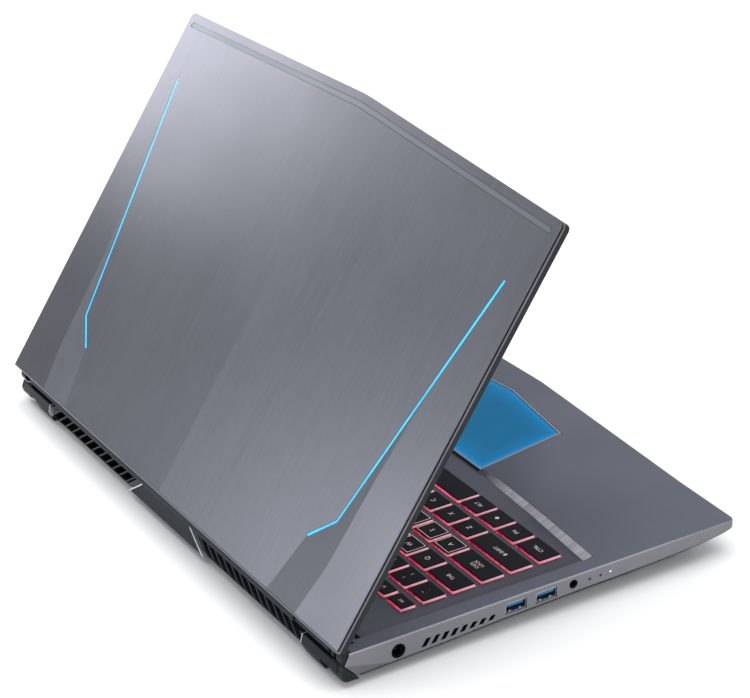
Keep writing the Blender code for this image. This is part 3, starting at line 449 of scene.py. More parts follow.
def lid_columns(distance):
    """(x, depth) across one half of the lid at a distance from the hinge edge."""
    xs = (0.0, along(VALLEY, distance), along(RIDGE, distance), LID_HALF)
    columns = []
    for i, parts in enumerate(FACET_PARTS):
        for step in range(parts):
            share = step / parts
            x = xs[i] + (xs[i + 1] - xs[i]) * share
            depth = facet_depth(i, distance) * (1 - share) + facet_depth(i + 1, distance) * share
            columns.append((x, depth))
    columns.append((LID_HALF, facet_depth(3, distance)))
    return columns


def lid_grid(side):
    """Points of one half of the lid's outer face, in rows from the hinge edge to the free edge."""
    grid = []
    for distance in LID_ROWS:
        grid.append([(side * x, LID_REAR - distance, LID_TOP - depth) for x, depth in lid_columns(distance)])
    start = LID_ROWS[-1]
    near, far = lid_columns(start), lid_columns(TAIL_END)
    for step in range(1, TAIL_ROWS + 1):
        share = step / TAIL_ROWS
        line = []
        for (x0, depth0), (x1, depth1) in zip(near, far):
            x = x0 + (x1 - x0) * share
            distance = start + (lid_top_length(x) - start) * share
            line.append((side * x, LID_REAR - distance, LID_TOP - depth0 - (depth1 - depth0) * share))
        grid.append(line)
    return grid


def at_free_corner(edge):
    """Whether an edge stands at one of the lid's two outer free corners."""
    return all(
        abs(abs(vert.co.x) / MM - LID_HALF) < 0.01 and vert.co.y / MM < LID_REAR - LID_SIDE_LENGTH + 0.2
        for vert in edge.verts
    )


def lid_shell_mesh():
    """Folded sheet-metal cover: a grid whose lines follow the facets, closed into a thin plate."""
    bm = bmesh.new()
    for side in (1, -1):
        grid = lid_grid(side)
        top = [ring(bm, line) for line in grid]
        under = [ring(bm, [(x, y, LID_TOP - SHELL_DEPTH) for x, y, _ in line]) for line in grid]
        last = len(top[0]) - 1
        for r in range(len(top) - 1):
            for c in range(last):
                bm.faces.new((top[r][c], top[r][c + 1], top[r + 1][c + 1], top[r + 1][c]))
                bm.faces.new((under[r][c], under[r + 1][c], under[r + 1][c + 1], under[r][c + 1]))
            bm.faces.new((top[r][last], under[r][last], under[r + 1][last], top[r + 1][last]))
        for c in range(last):
            bm.faces.new((top[0][c], under[0][c], under[0][c + 1], top[0][c + 1]))
            bm.faces.new((top[-1][c], top[-1][c + 1], under[-1][c + 1], under[-1][c]))
    bmesh.ops.remove_doubles(bm, verts=bm.verts, dist=1e-5)
    bmesh.ops.dissolve_degenerate(bm, edges=bm.edges, dist=1e-5)
    bmesh.ops.recalc_face_normals(bm, faces=bm.faces)
    corners = [edge for edge in bm.edges if at_free_corner(edge)]
    bmesh.ops.bevel(bm, geom=corners, offset=CORNER_BEVEL * MM, segments=4, profile=0.5, affect="EDGES")
    return finish_mesh(bm, "lid_shell")


def path_outline(path, side, width):
    """Closed outline of a bent strip along (x, distance) points, its ends cut square."""
    points = [Vector((side * x, LID_REAR - d)) for x, d in path]
    left, right = [], []
    for i, point in enumerate(points):
        before = (point - points[max(i - 1, 0)]).normalized()
        after = (points[min(i + 1, len(points) - 1)] - point).normalized()
        direction = (before + after).normalized()
        across = Vector((-direction.y, direction.x)) * width / 2
        left.append(tuple(point + across))
        right.append(tuple(point - across))
    return left + right[::-1]


STRIP_ENDS = (238.5, 241.9)
STRIP_MIDDLE = (246.4, 250.2)
STRIP_FLOOR = LID_TOP - 0.98


def strip_outline(shrink):
    """Antenna window: a shallow V band under the lid's free edge, its ends cut at a slant."""
    low, high = STRIP_ENDS[0] + shrink, STRIP_ENDS[1] - shrink
    mid_low, mid_high = STRIP_MIDDLE[0] + shrink, STRIP_MIDDLE[1] - shrink
    end = LID_HALF - 4.4 - shrink * 1.5
    points = [(-end, LID_REAR - low - 1.1), (-end + 1.6, LID_REAR - low), (0.0, LID_REAR - mid_low)]
    points += [(end - 1.6, LID_REAR - low), (end, LID_REAR - low - 1.1)]
    points += [(end - 2.2, LID_REAR - high), (0.0, LID_REAR - mid_high), (-end + 2.2, LID_REAR - high)]
    return points


def make_lid_shell():
    mesh = lid_shell_mesh()
    shell = add_piece("lid_shell", mesh, "lid", "lid", ("lid_cover",), on_lid=True)
    cut(shell, prism_mesh("tool", strip_outline(0.0), LID_TOP - 0.95, LID_TOP + 2.0))
    for side, _ in SIDES:
        outline = path_outline(LIGHT_PATH, side, LIGHT_WIDTH)
        cut(shell, prism_mesh("tool", outline, LID_TOP - 1.0, LID_TOP + 2.0))
    round_edges(shell, 0.16, 2, 40.0)
    shell.data.shade_flat()


def make_antenna_strip():
    mesh = prism_mesh("lid_antenna_strip", strip_outline(0.22), STRIP_FLOOR, LID_TOP - 0.62)
    strip = add_piece("lid_antenna_strip", mesh, "lid", "antenna", on_lid=True)
    for vert in strip.data.vertices:
        if vert.co.z / MM > LID_TOP - 0.8:
            share = min(1.0, abs(vert.co.x) / MM / LID_HALF)
            vert.co.z = (LID_TOP - 0.10 - 0.44 * share) * MM
    round_edges(strip, 0.08, 2)


def make_lid_lights():
    for side, name in SIDES:
        outline = path_outline(LIGHT_PATH, side, LIGHT_WIDTH - 0.24)
        mesh = prism_mesh("lid_light", outline, STRIP_FLOOR, LID_TOP - VALLEY_DEPTH - 0.06)
        light = add_piece(
            f"lid_light_bar_{name}", mesh, "lid", "light", (f"lid_light_{name}",), on_lid=True
        )
        round_edges(light, 0.3, 3, smooth=40.0)


def make_lid_hinge_strip():
    """Rounded plastic lip along the lid's hinge edge."""
    radius, low = 1.3, LID_TOP - 3.9
    top = LID_TOP - 0.12 - radius
    profile = []
    for step in range(7):
        angle = math.radians(90 * step / 6)
        profile.append((LID_REAR - radius + radius * math.sin(angle), top + radius * math.cos(angle)))
    profile += [(LID_REAR, low), (LID_REAR - SHELL_START + 0.1, low)]
    mesh = prism_mesh("lid_hinge_lip", profile, -LID_HALF + 0.25, LID_HALF - 0.25, "X")
    lip = add_piece("lid_hinge_lip", mesh, "lid", "lip", on_lid=True)
    round_edges(lip, 0.15, 2, 60.0, smooth=45.0)


SCREEN_REAR = LID_REAR - 19.0
SCREEN_LENGTH = 215.0
ACTIVE_HALF = 191.0
SCREEN_BORDER = 1.2
BUMPERS_X = (-184.0, -70.0, 70.0, 184.0)
BEZEL_HOLES = ((-46.0, 0.5), (46.0, 0.5), (7.0, 0.45))


def make_screen():
    half = box_mm("display_panel")[1].x
    front = SCREEN_REAR - SCREEN_LENGTH
    bm = bmesh.new()
    glass = rounded_rectangle(-half + 0.2, half - 0.2, front - 3.8, SCREEN_REAR + 3.8, 1.5)
    extrude_outline(bm, glass, LID_TOP - 6.1, LID_TOP - 4.2)
    active_x = ACTIVE_HALF - SCREEN_BORDER
    active = rounded_rectangle(-active_x, active_x, front + SCREEN_BORDER, SCREEN_REAR - SCREEN_BORDER, 0.8)
    extrude_outline(bm, active, LID_TOP - 6.16, LID_TOP - 6.02, index=1)
    panel = add_solid("screen", bm, "lid", "mask screen", ("display_panel",), on_lid=True)
    round_edges(panel, 0.04, 1)


def make_bezel_details():
    """Soft bumpers, and the camera ring with its lens, microphone holes and light."""
    face = LID_TOP - 7.0
    camera_y = SCREEN_REAR - SCREEN_LENGTH - 7.5
    bm = bmesh.new()
    for x in BUMPERS_X:
        drum(bm, (x, camera_y - 1.0, face - 0.16), 3.0, 0.5, 24, 3.2)
    bumpers = add_solid("bezel_bumpers", bm, "lid", "rubber", on_lid=True)
    round_edges(bumpers, 0.15, 2, smooth=40.0)
    bm = bmesh.new()
    drum(bm, (0.0, camera_y, face + 0.8), 2.2, 1.7, 40)
    drum(bm, (0.0, camera_y, face - 0.02), 1.1, 0.3, 32, 1.3, index=1)
    for x, radius in BEZEL_HOLES:
        drum(bm, (x, camera_y, face + 0.02), radius, 0.3, 16, index=2)
    camera = add_solid("camera", bm, "lid", "mask lens black", ("webcam",), on_lid=True)
    round_edges(camera, 0.08, 2, smooth=40.0)


# ---- keyboard

BOTTOM_ROW = (
    ("key_ctrl", 22.72, "Ctrl"),
    ("key_fn", KEY_WIDTH, "Fn"),
    ("key_menu", KEY_WIDTH, "[menu]"),
    ("key_alt", KEY_WIDTH, "Alt"),
    ("space", 91.05, ""),
    ("alt_right", KEY_WIDTH, "Alt"),
    ("menu_right", KEY_WIDTH, "[list]"),
    ("ctrl_right", 26.7, "Ctrl"),
    ("arrow_left", KEY_WIDTH, "[left]"),
    ("arrow_down", KEY_WIDTH, "[down]"),
    ("arrow_right", KEY_WIDTH, "[right]"),
)
SYMBOLS = dict(zip("1234567890-=[];',./`", "!@#$%^&*()_+{}:\"<>?~"))
PAD_LEGENDS = (
    ("", "0", ".", "[enter]"),
    ("1", "2", "3", ""),
    ("4", "5", "6", "+"),
    ("7", "8", "9", ""),
    ("Num\nLock", "/", "*", "-"),
)
FUNCTION_LEGENDS = ("Esc",) + tuple(f"F{i}" for i in range(1, 13))
FUNCTION_LEGENDS += ("Pause", "PrtSc", "Ins", "Del", "Home", "End", "PgUp")
OUTLINED = {"key_w", "key_a", "key_s", "key_d"}
CTRL_GAP = 0.4
FIRST_PAD_FUNCTION = 16


def letter_row(first, letters, last):
    row = [first]
    row += [(f"key_{letter}", KEY_WIDTH, letter.upper()) for letter in letters]
    used = sum(width + KEY_PITCH - KEY_WIDTH for _, width, _ in row)
    if last:
        name, legend = last
        row.append((name, KEY_RIGHT_X - KEY_LEFT_X - used, legend))
    return row


def key_layout():
    """Every key as (name, x low, x high, y low, y high, legend)."""
    shift_row = letter_row(("key_shift", 41.57, "[up]Shift"), "zxcvbnm,./", None)
    shift_row += [("shift_right", 27.6, "[up]Shift"), ("arrow_up", KEY_WIDTH, "[up]")]
    rows = (
        BOTTOM_ROW,
        shift_row,
        letter_row(("key_caps", 31.9, "Caps\nLock"), "asdfghjkl;'", ("enter", "Enter")),
        letter_row(("key_tab", 26.2, "Tab"), "qwertyuiop[]", ("backslash", "\\")),
        letter_row(("key_grave", KEY_WIDTH, "`"), "1234567890-=", ("backspace", "Backspace")),
    )
    keys = []
    for row, names in enumerate(rows):
        y = FIRST_ROW_Y + row * ROW_PITCH
        x = KEY_LEFT_X
        for name, width, legend in names:
            keys.append((name, x, x + width, y, y + KEY_DEPTH, legend))
            x += width + KEY_PITCH - KEY_WIDTH + (CTRL_GAP if name == "key_ctrl" else 0.0)
    for i, legend in enumerate(FUNCTION_LEGENDS):
        x = KEY_LEFT_X + i * FUNCTION_PITCH
        if i >= FIRST_PAD_FUNCTION:
            x = PAD_RIGHT_X - FUNCTION_WIDTH - (len(FUNCTION_LEGENDS) - 1 - i) * FUNCTION_PITCH
        name = "key_esc" if i == 0 else f"function_{i}"
        keys.append((name, x, x + FUNCTION_WIDTH, FUNCTION_ROW_Y, FUNCTION_ROW_Y + FUNCTION_DEPTH, legend))
    for row, legends in enumerate(PAD_LEGENDS):
        y = FIRST_ROW_Y + row * ROW_PITCH
        for column, legend in enumerate(legends):
            if not legend:
                continue
            x = PAD_RIGHT_X - KEY_WIDTH - (3 - column) * KEY_PITCH
            high = y + KEY_DEPTH + (ROW_PITCH if legend in ("[enter]", "+") else 0.0)
            keys.append((f"pad_{row}_{column}", x, x + KEY_WIDTH, y, high, legend))
    return keys


KEY_TOP_Z = DECK_Z
CAP_THICKNESS = 0.55
KEY_LOW_Z = 17.75
KEY_RADIUS = 0.9
KEY_TAPER = 0.3
MEMBRANE = ((-179.0, -25.5, 15.2), (179.0, 80.0, 15.7))
GLOW_REACH = 0.44
GLOW_LOW_Z = 18.2


def key_rings(bm, key):
    """Keycap: dark top shell over a clear skirt, as rings of a rounded rectangle from low to high."""
    _, x0, x1, y0, y1, _ = key
    shell_low = KEY_TOP_Z - CAP_THICKNESS
    levels = (
        (KEY_LOW_Z, 0.0, 1),
        (shell_low - 0.9, 0.05, 1),
        (shell_low, KEY_TAPER - 0.05, 1),
        (shell_low, KEY_TAPER - 0.1, 0),
        (KEY_TOP_Z - 0.14, KEY_TAPER, 0),
        (KEY_TOP_Z - 0.04, KEY_TAPER + 0.1, 0),
        (KEY_TOP_Z, KEY_TAPER + 0.28, 0),
    )
    rings = []
    for z, inset, _ in levels:
        outline = rounded_rectangle(x0 + inset, x1 - inset, y0 + inset, y1 - inset, KEY_RADIUS)
        rings.append(flat_ring(bm, outline, z))
    for level in range(1, len(levels)):
        bridge(bm, rings[level - 1 : level + 1], levels[level][2], smooth=True)
    bm.faces.new(rings[0][::-1]).material_index = 1
    bm.faces.new(rings[-1]).material_index = 0


def outline_frame(bm, key):
    """Thin printed frame near the edge of a marked key's top."""
    _, x0, x1, y0, y1, _ = key
    low, high = KEY_TOP_Z + 0.002, KEY_TOP_Z + 0.02
    rings = []
    for inset, z in ((1.0, low), (1.0, high), (1.42, high), (1.42, low)):
        outline = rounded_rectangle(x0 + inset, x1 - inset, y0 + inset, y1 - inset, 0.5, 2)
        rings.append(flat_ring(bm, outline, z))
    bridge(bm, rings + rings[:1], 2)


def text_mesh(text, size, x, y):
    """Flat letters as thin closed solids, centred on a place."""
    curve = bpy.data.curves.new("legend", "FONT")
    curve.body = text
    curve.size = size * MM
    curve.align_x = "CENTER"
    curve.align_y = "CENTER"
    curve.extrude = 0.01 * MM
    curve.resolution_u = 2
    holder = bpy.data.objects.new("legend", curve)
    bpy.context.scene.collection.objects.link(holder)
    graph = bpy.context.evaluated_depsgraph_get()
    mesh = bpy.data.meshes.new_from_object(holder.evaluated_get(graph))
    bpy.data.objects.remove(holder, do_unlink=True)
    mesh.transform(Matrix.Translation(Vector((x, y, KEY_TOP_Z + 0.012)) * MM))
    return mesh


UP_MARK = ((-1.2, -0.2), (0.0, 1.6), (1.2, -0.2), (0.5, -0.2), (0.5, -1.4), (-0.5, -1.4), (-0.5, -0.2))
ENTER_MARK = ((-1.6, 0.0), (-0.2, 1.1), (-0.2, 0.4), (1.4, 0.4), (1.4, 1.6), (2.0, 1.6), (2.0, -0.4))
ENTER_MARK += ((-0.2, -0.4), (-0.2, -1.1))
DIAMOND_MARK = ((-1.5, 0.0), (0.0, -1.5), (1.5, 0.0), (0.0, 1.5))
ARROW_TURNS = {"left": 90, "down": 180, "right": -90}
LETTER_SIZE = 4.2
FUNCTION_SIZE = 2.4
WORD_SIZE = 3.4
TWO_LINE_SIZE = 3.0
SYMBOL_RISE = 2.6


def arrow(turn):
    angle = math.radians(turn)
    return [
        (u * math.cos(angle) - v * math.sin(angle), u * math.sin(angle) + v * math.cos(angle))
        for u, v in ((-1.3, -0.9), (0.0, 1.1), (1.3, -0.9))
    ]


def mark_outlines(mark):
    if mark in ARROW_TURNS:
        return [arrow(ARROW_TURNS[mark])]
    if mark == "list":
        return [rounded_rectangle(-1.6, 1.6, v - 0.2, v + 0.2, 0.15, 2) for v in (-1.0, 0.0, 1.0)]
    return [{"up": UP_MARK, "enter": ENTER_MARK, "menu": DIAMOND_MARK}[mark]]


def legend_size(name, legend):
    if len(legend) == 1:
        return LETTER_SIZE
    if name.startswith("function") or name == "key_esc":
        return FUNCTION_SIZE
    return TWO_LINE_SIZE if "\n" in legend else WORD_SIZE


def add_legend(bm, key):
    """Printed legend of one key, as thin solids with the third material: a mark, symbols or a word."""
    name, x0, x1, y0, y1, legend = key
    x, y = (x0 + x1) / 2, (y0 + y1) / 2
    if legend.startswith("[") and len(legend) > 1:
        mark, legend = legend[1:].split("]", 1)
        shift = -4.6 if legend else 0.0
        for outline in mark_outlines(mark):
            points = [(x + shift + u, y + v) for u, v in outline]
            extrude_outline(bm, points, KEY_TOP_Z + 0.002, KEY_TOP_Z + 0.022, index=2)
        x += 1.6 if legend else 0.0
    parts = []
    if legend in SYMBOLS:
        parts = [(legend, TWO_LINE_SIZE, -SYMBOL_RISE), (SYMBOLS[legend], TWO_LINE_SIZE, SYMBOL_RISE)]
    elif legend:
        parts = [(legend.upper(), legend_size(name, legend), 0.0)]
    for text, size, rise in parts:
        mesh = text_mesh(text, size, x, y + rise)
        before = len(bm.faces)
        bm.from_mesh(mesh)
        bm.faces.ensure_lookup_table()
        for face in bm.faces[before:]:
            face.material_index = 2
        bpy.data.meshes.remove(mesh)


def glow_share(x, y, z, key):
    """(whiteness, brightness) of the skirt: pale on the left side, red elsewhere and dimmer to the right."""
    _, x0, x1, y0, y1, _ = key
    front = 1.0 - (y - y0) / (y1 - y0)
    high = (z - RECESS_Z) / (KEY_TOP_Z - CAP_THICKNESS - RECESS_Z)
    near_left = 1.0 - (x - x0) / (x1 - x0)
    white = (0.5 + 0.8 * front) * (0.62 + 0.5 * high) if x < x0 + 1.0 else 0.0
    bright = 0.35 + 0.65 * near_left ** 2
    return max(0.0, min(1.0, white)), bright


def key_mesh(key):
    bm = bmesh.new()
    key_rings(bm, key)
    if key[0] in OUTLINED:
        outline_frame(bm, key)
    add_legend(bm, key)
    mesh = finish_mesh(bm, key[0])
    layer = mesh.color_attributes.new("glow", "FLOAT_COLOR", "POINT")
    for vert, value in zip(mesh.vertices, layer.data):
        white, bright = glow_share(*(vert.co / MM), key)
        value.color = (white, bright, 0.0, 1.0)
    return mesh


def make_keys():
    looks = "keycap skirt legend"
    fixed = bmesh.new()
    for key in key_layout():
        mesh = key_mesh(key)
        if key[0] in frame["bodies"]:
            add_piece(f"{key[0]}_cap", mesh, key[0], looks, (key[0],))
        else:
            fixed.from_mesh(mesh)
            bpy.data.meshes.remove(mesh)
    add_piece("fixed_keycaps", finish_mesh(fixed, "fixed_keycaps"), "base", looks)


def make_backlight():
    """Membrane under the keys, with a lit plate under each key that reaches just past its sides."""
    bm = bmesh.new()
    block(bm, *MEMBRANE)
    for _, x0, x1, y0, y1, _ in key_layout():
        sides = (x0 - GLOW_REACH, x1 + GLOW_REACH, y0 - GLOW_REACH, y1 + GLOW_REACH)
        outline = rounded_rectangle(*sides, 0.6, 2)
        extrude_outline(bm, outline, GLOW_LOW_Z, RECESS_Z - 0.45, index=1)
    add_solid("keyboard_backlight", bm, "base", "membrane backlight", ("keycap_field",))


# ---- trackpad

# Heights of the glass, from low to high, as (z, growth of the outline, share of edge glow).
PAD_LEVELS = (
    (19.0, -0.3, 1.0),
    (20.45, -0.3, 1.0),
    (20.66, -0.5, 1.0),
    (20.7, -1.5, 0.75),
    (20.7, -4.5, 0.3),
    (20.7, -14.0, 0.0),
)


def pad_outline(grow):
    """Five-sided outline: straight rear edge, slanted sides and a shallow point in front."""
    rear, front, apex = -40.6 + grow, -101.8 - grow * 1.05, -109.9 - grow
    wide, narrow = 71.3 + grow, 61.0 + grow * 0.85
    return [(-wide, rear), (-narrow, front), (0.0, apex), (narrow, front), (wide, rear)]


def make_trackpad():
    """Lit glass plate whose edge glows brighter than its middle."""
    bm = bmesh.new()
    rings = [flat_ring(bm, pad_outline(grow), z) for z, grow, _ in PAD_LEVELS]
    bridge(bm, rings)
    bm.faces.new(rings[0])
    bm.faces.new(rings[-1][::-1])
    bmesh.ops.recalc_face_normals(bm, faces=bm.faces)
    mesh = finish_mesh(bm, "trackpad")
    layer = mesh.color_attributes.new("glow", "FLOAT_COLOR", "POINT")
    shares = [share for _, _, share in PAD_LEVELS for _ in rings[0]]
    for value, share in zip(layer.data, shares):
        value.color = (share, share, share, 1.0)
    add_piece("trackpad_glass", mesh, "trackpad", "trackpad", ("trackpad",))


# ---- base


RECESS_Y = (-41.6, 113.2)
RECESS_HALF = 189.4
SLOTS_Y = (28.0, 84.0)
SLOTS_Z = (9.0, 14.8)


def between(span, value):
    return span[0] < value < span[1]


def case_material(face):
    """0 deck, 1 keyboard recess, 2 side walls and inside, 3 inner faces painted black as shade, 4 chamfer
    round the deck.
    """
    centre = face.calc_center_median() / MM
    side = abs(centre.x)
    in_recess = between(RECESS_Y, centre.y) and side < RECESS_HALF
    if face.normal.z > 0.25 and centre.z > DECK_Z - 0.9:
        if not in_recess and face.normal.z < 0.93:
            return 4
        return 1 if in_recess and centre.z < DECK_Z - 0.05 else 0
    if face.normal.z > 0.5 and centre.z > RECESS_Z - 0.2:
        return 1
    in_slot = between(SLOTS_Y, centre.y) and between(SLOTS_Z, centre.z) and side < HALF_WIDTH - 0.05
    # Faces inside the air slots, at the walls' rear ends, and rear faces that do not face sideways are
    # painted black, as the shade that falls there.
    at_rear_end = centre.y > 117.5 and side > 194.5
    if abs(face.normal.x) < 0.6 and side > 196.0 and (in_slot or at_rear_end):
        return 3
    return 3 if centre.y > 114.0 and abs(face.normal.x) < 0.9 else 2


def make_notch_shade_patches():
    """Black three-cornered patch in each rear corner of the keyboard recess, in front of the hinge: painted
    shade of the notch there.
    """
    for side, name in SIDES:
        outline = [(side * 188.9, 115.2), (side * 188.9, 108.6), (side * 182.6, 109.0)]
        mesh = prism_mesh("notch_shade_patch", outline, RECESS_Z - 0.1, RECESS_Z + 0.12)
        add_piece(f"notch_shade_patch_{name}", mesh, "base", "black")


STRIP_OUTER = ((71.8, -40.9), (93.2, -41.3), (138.4, -39.4), (188.6, -35.9))
STRIP_INNER = ((71.8, -38.0), (90.8, -37.4), (134.5, -34.9), (188.2, -30.4))


def make_recess_strips():
    """Bright milled strip along each front side of the keyboard recess: a slope from deck to recess."""
    low = RECESS_Z - 0.1
    for side, name in SIDES:
        bm = bmesh.new()
        sections = []
        for (x0, y0), (x1, y1) in zip(STRIP_OUTER, STRIP_INNER):
            outer, inner = (side * x0, y0), (side * x1, y1)
            corners = [(*outer, DECK_Z + 0.05), (*inner, RECESS_Z + 0.1), (*inner, low), (*outer, low)]
            sections.append(ring(bm, corners))
        bridge(bm, sections)
        bm.faces.new(sections[0])
        bm.faces.new(sections[-1][::-1])
        add_solid(f"recess_strip_{name}", bm, "base", "milled")


def make_slot_shade_sheets():
    """Black sheet behind the air slots of each side wall: painted shade inside the slots."""
    for side, name in SIDES:
        low, high = sorted((side * (HALF_WIDTH - 2.1), side * (HALF_WIDTH - 2.6)))
        mesh = block_mesh((low, 32.0, 8.9), (high, 92.0, 15.4))
        add_piece(f"slot_shade_sheet_{name}", mesh, "base", "black")


USB_WALL = 0.42
TONGUE_HALF = 5.4
CONTACT_PITCH = 2.33
SPRING_Y = 3.2


def make_usb(node):
    """Metal shell with folded lips, a coloured tongue with its contacts, and spring tabs."""
    low, high = box_mm(node)
    y, z = (low.y + high.y) / 2, (low.z + high.z) / 2
    width, height = (high.y - low.y) / 2, (high.z - low.z) / 2
    inner_width, inner_height = width - USB_WALL, height - USB_WALL
    front, back = low.x, high.x - 3.0
    outer = rounded_rectangle(y - width, y + width, z - height, z + height, 0.7)
    inner = rounded_rectangle(y - inner_width, y + inner_width, z - inner_height, z + inner_height, 0.45)
    bm = bmesh.new()
    rings = []
    for points, x in ((outer, high.x), (outer, front + 0.15), (inner, front), (inner, back)):
        rings.append(ring(bm, [(x, u, v) for u, v in points]))
    bridge(bm, rings)
    bm.faces.new(rings[0])
    bm.faces.new(rings[-1][::-1]).material_index = 2
    block(bm, (front + 1.0, y - TONGUE_HALF, z + 0.1), (back + 0.1, y + TONGUE_HALF, z + 1.95), 1)
    for step in range(4):
        at = y - 3.5 + step * CONTACT_PITCH
        block(bm, (front + 1.4, at - 0.5, z - 0.08), (back, at + 0.5, z + 0.12), 3)
    floor = z - inner_height
    for at in (y - SPRING_Y, y + SPRING_Y):
        block(bm, (front + 1.0, at - 0.9, floor - 0.05), (back, at + 0.9, floor + 0.5), 3)
    port = add_solid(f"{node}_port", bm, "base", "socket tongue black gold", (node,))
    round_edges(port, 0.1, 2, 50.0, smooth=40.0)


def turn_profile(bm, centre, profile, segments=40, index=0):
    """Turned piece about an axis along X: profile points are (distance from the wall inwards, radius)."""
    cx, cy, cz = centre
    angles = [2 * math.pi * i / segments for i in range(segments)]
    rings = []
    for depth, radius in profile:
        circle = [(cx + depth, cy + radius * math.cos(a), cz + radius * math.sin(a)) for a in angles]
        rings.append(ring(bm, circle))
    bridge(bm, rings, index, smooth=True)
    for end in (rings[0], rings[-1]):
        face = bm.faces.new(end)
        face.material_index = index
        face.smooth = True


def make_round_socket(node, bore, pin):
    """Dark barrel in the left wall, with a centre pin where the socket has one."""
    low, high = box_mm(node)
    centre = (-HALF_WIDTH, (low.y + high.y) / 2, (low.z + high.z) / 2)
    radius = (high.y - low.y) / 2
    bm = bmesh.new()
    profile = [(13.0, radius), (0.45, radius), (0.2, radius - 0.15)]
    profile += [(0.35, bore + 0.12), (0.7, bore), (10.5, bore)]
    turn_profile(bm, centre, profile)
    if pin:
        turn_profile(bm, centre, [(10.4, pin), (3.6, pin), (3.2, pin * 0.6)], 20, 1)
    socket = add_solid(f"{node}_barrel", bm, "base", "black groove", (node,))
    socket.data.set_sharp_from_angle(angle=math.radians(40.0))


def make_status_lights():
    """Three small light guides in the left wall, the front one lit, on one carrier."""
    low, high = box_mm("status_light_guide")
    y_first, y_last = high.y - 2.0, low.y + 2.0
    z = (low.z + high.z) / 2
    profile = [(4.0, 0.6), (0.5, 0.6), (0.32, 0.5), (0.26, 0.25)]
    bm = bmesh.new()
    for y, index in ((y_first, 0), ((y_first + y_last) / 2 - 0.1, 0), (y_last, 1)):
        turn_profile(bm, (-HALF_WIDTH, y, z), profile, 16, index)
    block(bm, (-196.6, y_last - 2.0, z - 1.0), (-194.8, y_first + 2.0, z + 1.0))
    add_solid("status_lights", bm, "base", "guide status", ("status_light_guide",))


# ---- rear

BARREL_RADIUS = 4.22
BARREL_SPANS = ((-148.7, 148.7), (-199.4, -193.8), (193.8, 199.4))
HINGE_SPAN = (149.0, 193.5)
BLOCK_LOW_Z = 4.4
BLOCK_LOW_HALF = 46.0
FIN_SLANT = 1.465
FIN_LOW_Z = 6.7
FIN_PITCH = 9.3
FIN_WIDTH = 1.7
BAY_WIDTH = 7.4
REAR_TOP_Z = 18.8
GRILLE_OUTER_X = 157.6


def fin_profile():
    """Side view of a fin as (y, z): upright rear edge and a rounded lower tip."""
    points = [(121.8, REAR_TOP_Z), (126.2, REAR_TOP_Z)]
    y, z, radius = 125.3, FIN_LOW_Z + 2.9, 2.6
    for step in range(6):
        angle = math.radians(90 * step / 5)
        points.append((y + radius * math.cos(angle), z - radius * math.sin(angle)))
    points.append((121.8, FIN_LOW_Z + 0.3))
    return points


def slant(verts, side, low_z):
    """Leans upright slices by the slant of the fins, from a height up, and mirrors them to their side."""
    for vert in verts:
        height = vert.co.z / MM - low_z
        vert.co.x = side * (vert.co.x - FIN_SLANT * height * MM)


def make_grille(side, name):
    """Bank of slanted fins in front of a black back plate, painted shade of the grille's inside, with a
    filled bay next to the centre block.
    """
    first = BLOCK_LOW_HALF - FIN_SLANT * (FIN_LOW_Z - BLOCK_LOW_Z) + 0.5
    reach = FIN_SLANT * (REAR_TOP_Z - FIN_LOW_Z)
    outer = side * GRILLE_OUTER_X
    bm = bmesh.new()
    x = first
    while x < GRILLE_OUTER_X + reach - 3.0:
        thickness = BAY_WIDTH if x == first else FIN_WIDTH
        slant(extrude_outline(bm, fin_profile(), x, x + thickness, "X"), side, FIN_LOW_Z)
        x += FIN_PITCH
    fins = add_solid(f"rear_fins_{name}", bm, "base", "fin", (f"rear_grille_{name}",))
    window = [(side * (first - 0.2), FIN_LOW_Z - 1.0), (outer, FIN_LOW_Z - 1.0)]
    window += [(outer, REAR_TOP_Z + 0.01), (side * (first - 0.2 - reach), REAR_TOP_Z + 0.01)]
    cut(fins, prism_mesh("tool", window, 118.0, 135.0, "Y"), "INTERSECT")
    # The black plate behind the fins stands for the shade inside the grille; the rail runs along the top.
    bm = bmesh.new()
    plate_x = side * (GRILLE_OUTER_X - 0.2)
    top = [(plate_x, REAR_TOP_Z), (side * (first + 1.8 - reach), REAR_TOP_Z)]
    plate = [(side * (first + 0.4), FIN_LOW_Z + 1.2), (plate_x, FIN_LOW_Z + 1.2)]
    extrude_outline(bm, plate + top, 121.0, 121.7, "Y")
    rail = [(side * (first + 3.2 - reach), REAR_TOP_Z - 1.0), (plate_x, REAR_TOP_Z - 1.0)]
    extrude_outline(bm, rail + top, 121.75, 125.9, "Y")
    carrier = add_solid(f"rear_fin_shade_plate_{name}", bm, "base", "black")
    low, high = sorted(side * x for x in HINGE_SPAN)
    for piece in (fins, carrier):
        cut(piece, block_mesh((low, 113.0, HINGE.z - 4.2), (high, 140.0, HINGE.z + 12.0)))
    round_edges(fins, 0.22, 2, 40.0, smooth=40.0)


def make_hinge_barrel():
    """Round cover along the hinge axis, which closes the gap between the deck and the lid."""
    bm = bmesh.new()
    for low, high in BARREL_SPANS:
        drum(bm, ((low + high) / 2, HINGE.y, HINGE.z), BARREL_RADIUS, high - low, 40, along_x=True)
    barrel = add_solid("hinge_barrel", bm, "base", "rear")
    cut(barrel, block_mesh((-210.0, 100.0, 0.0), (210.0, 121.4, 30.0)))
    round_edges(barrel, 0.3, 2, smooth=40.0)


def make_trim(name, bm, edge):
    trim = add_solid(name, bm, "base", "trim")
    round_edges(trim, edge, 2)


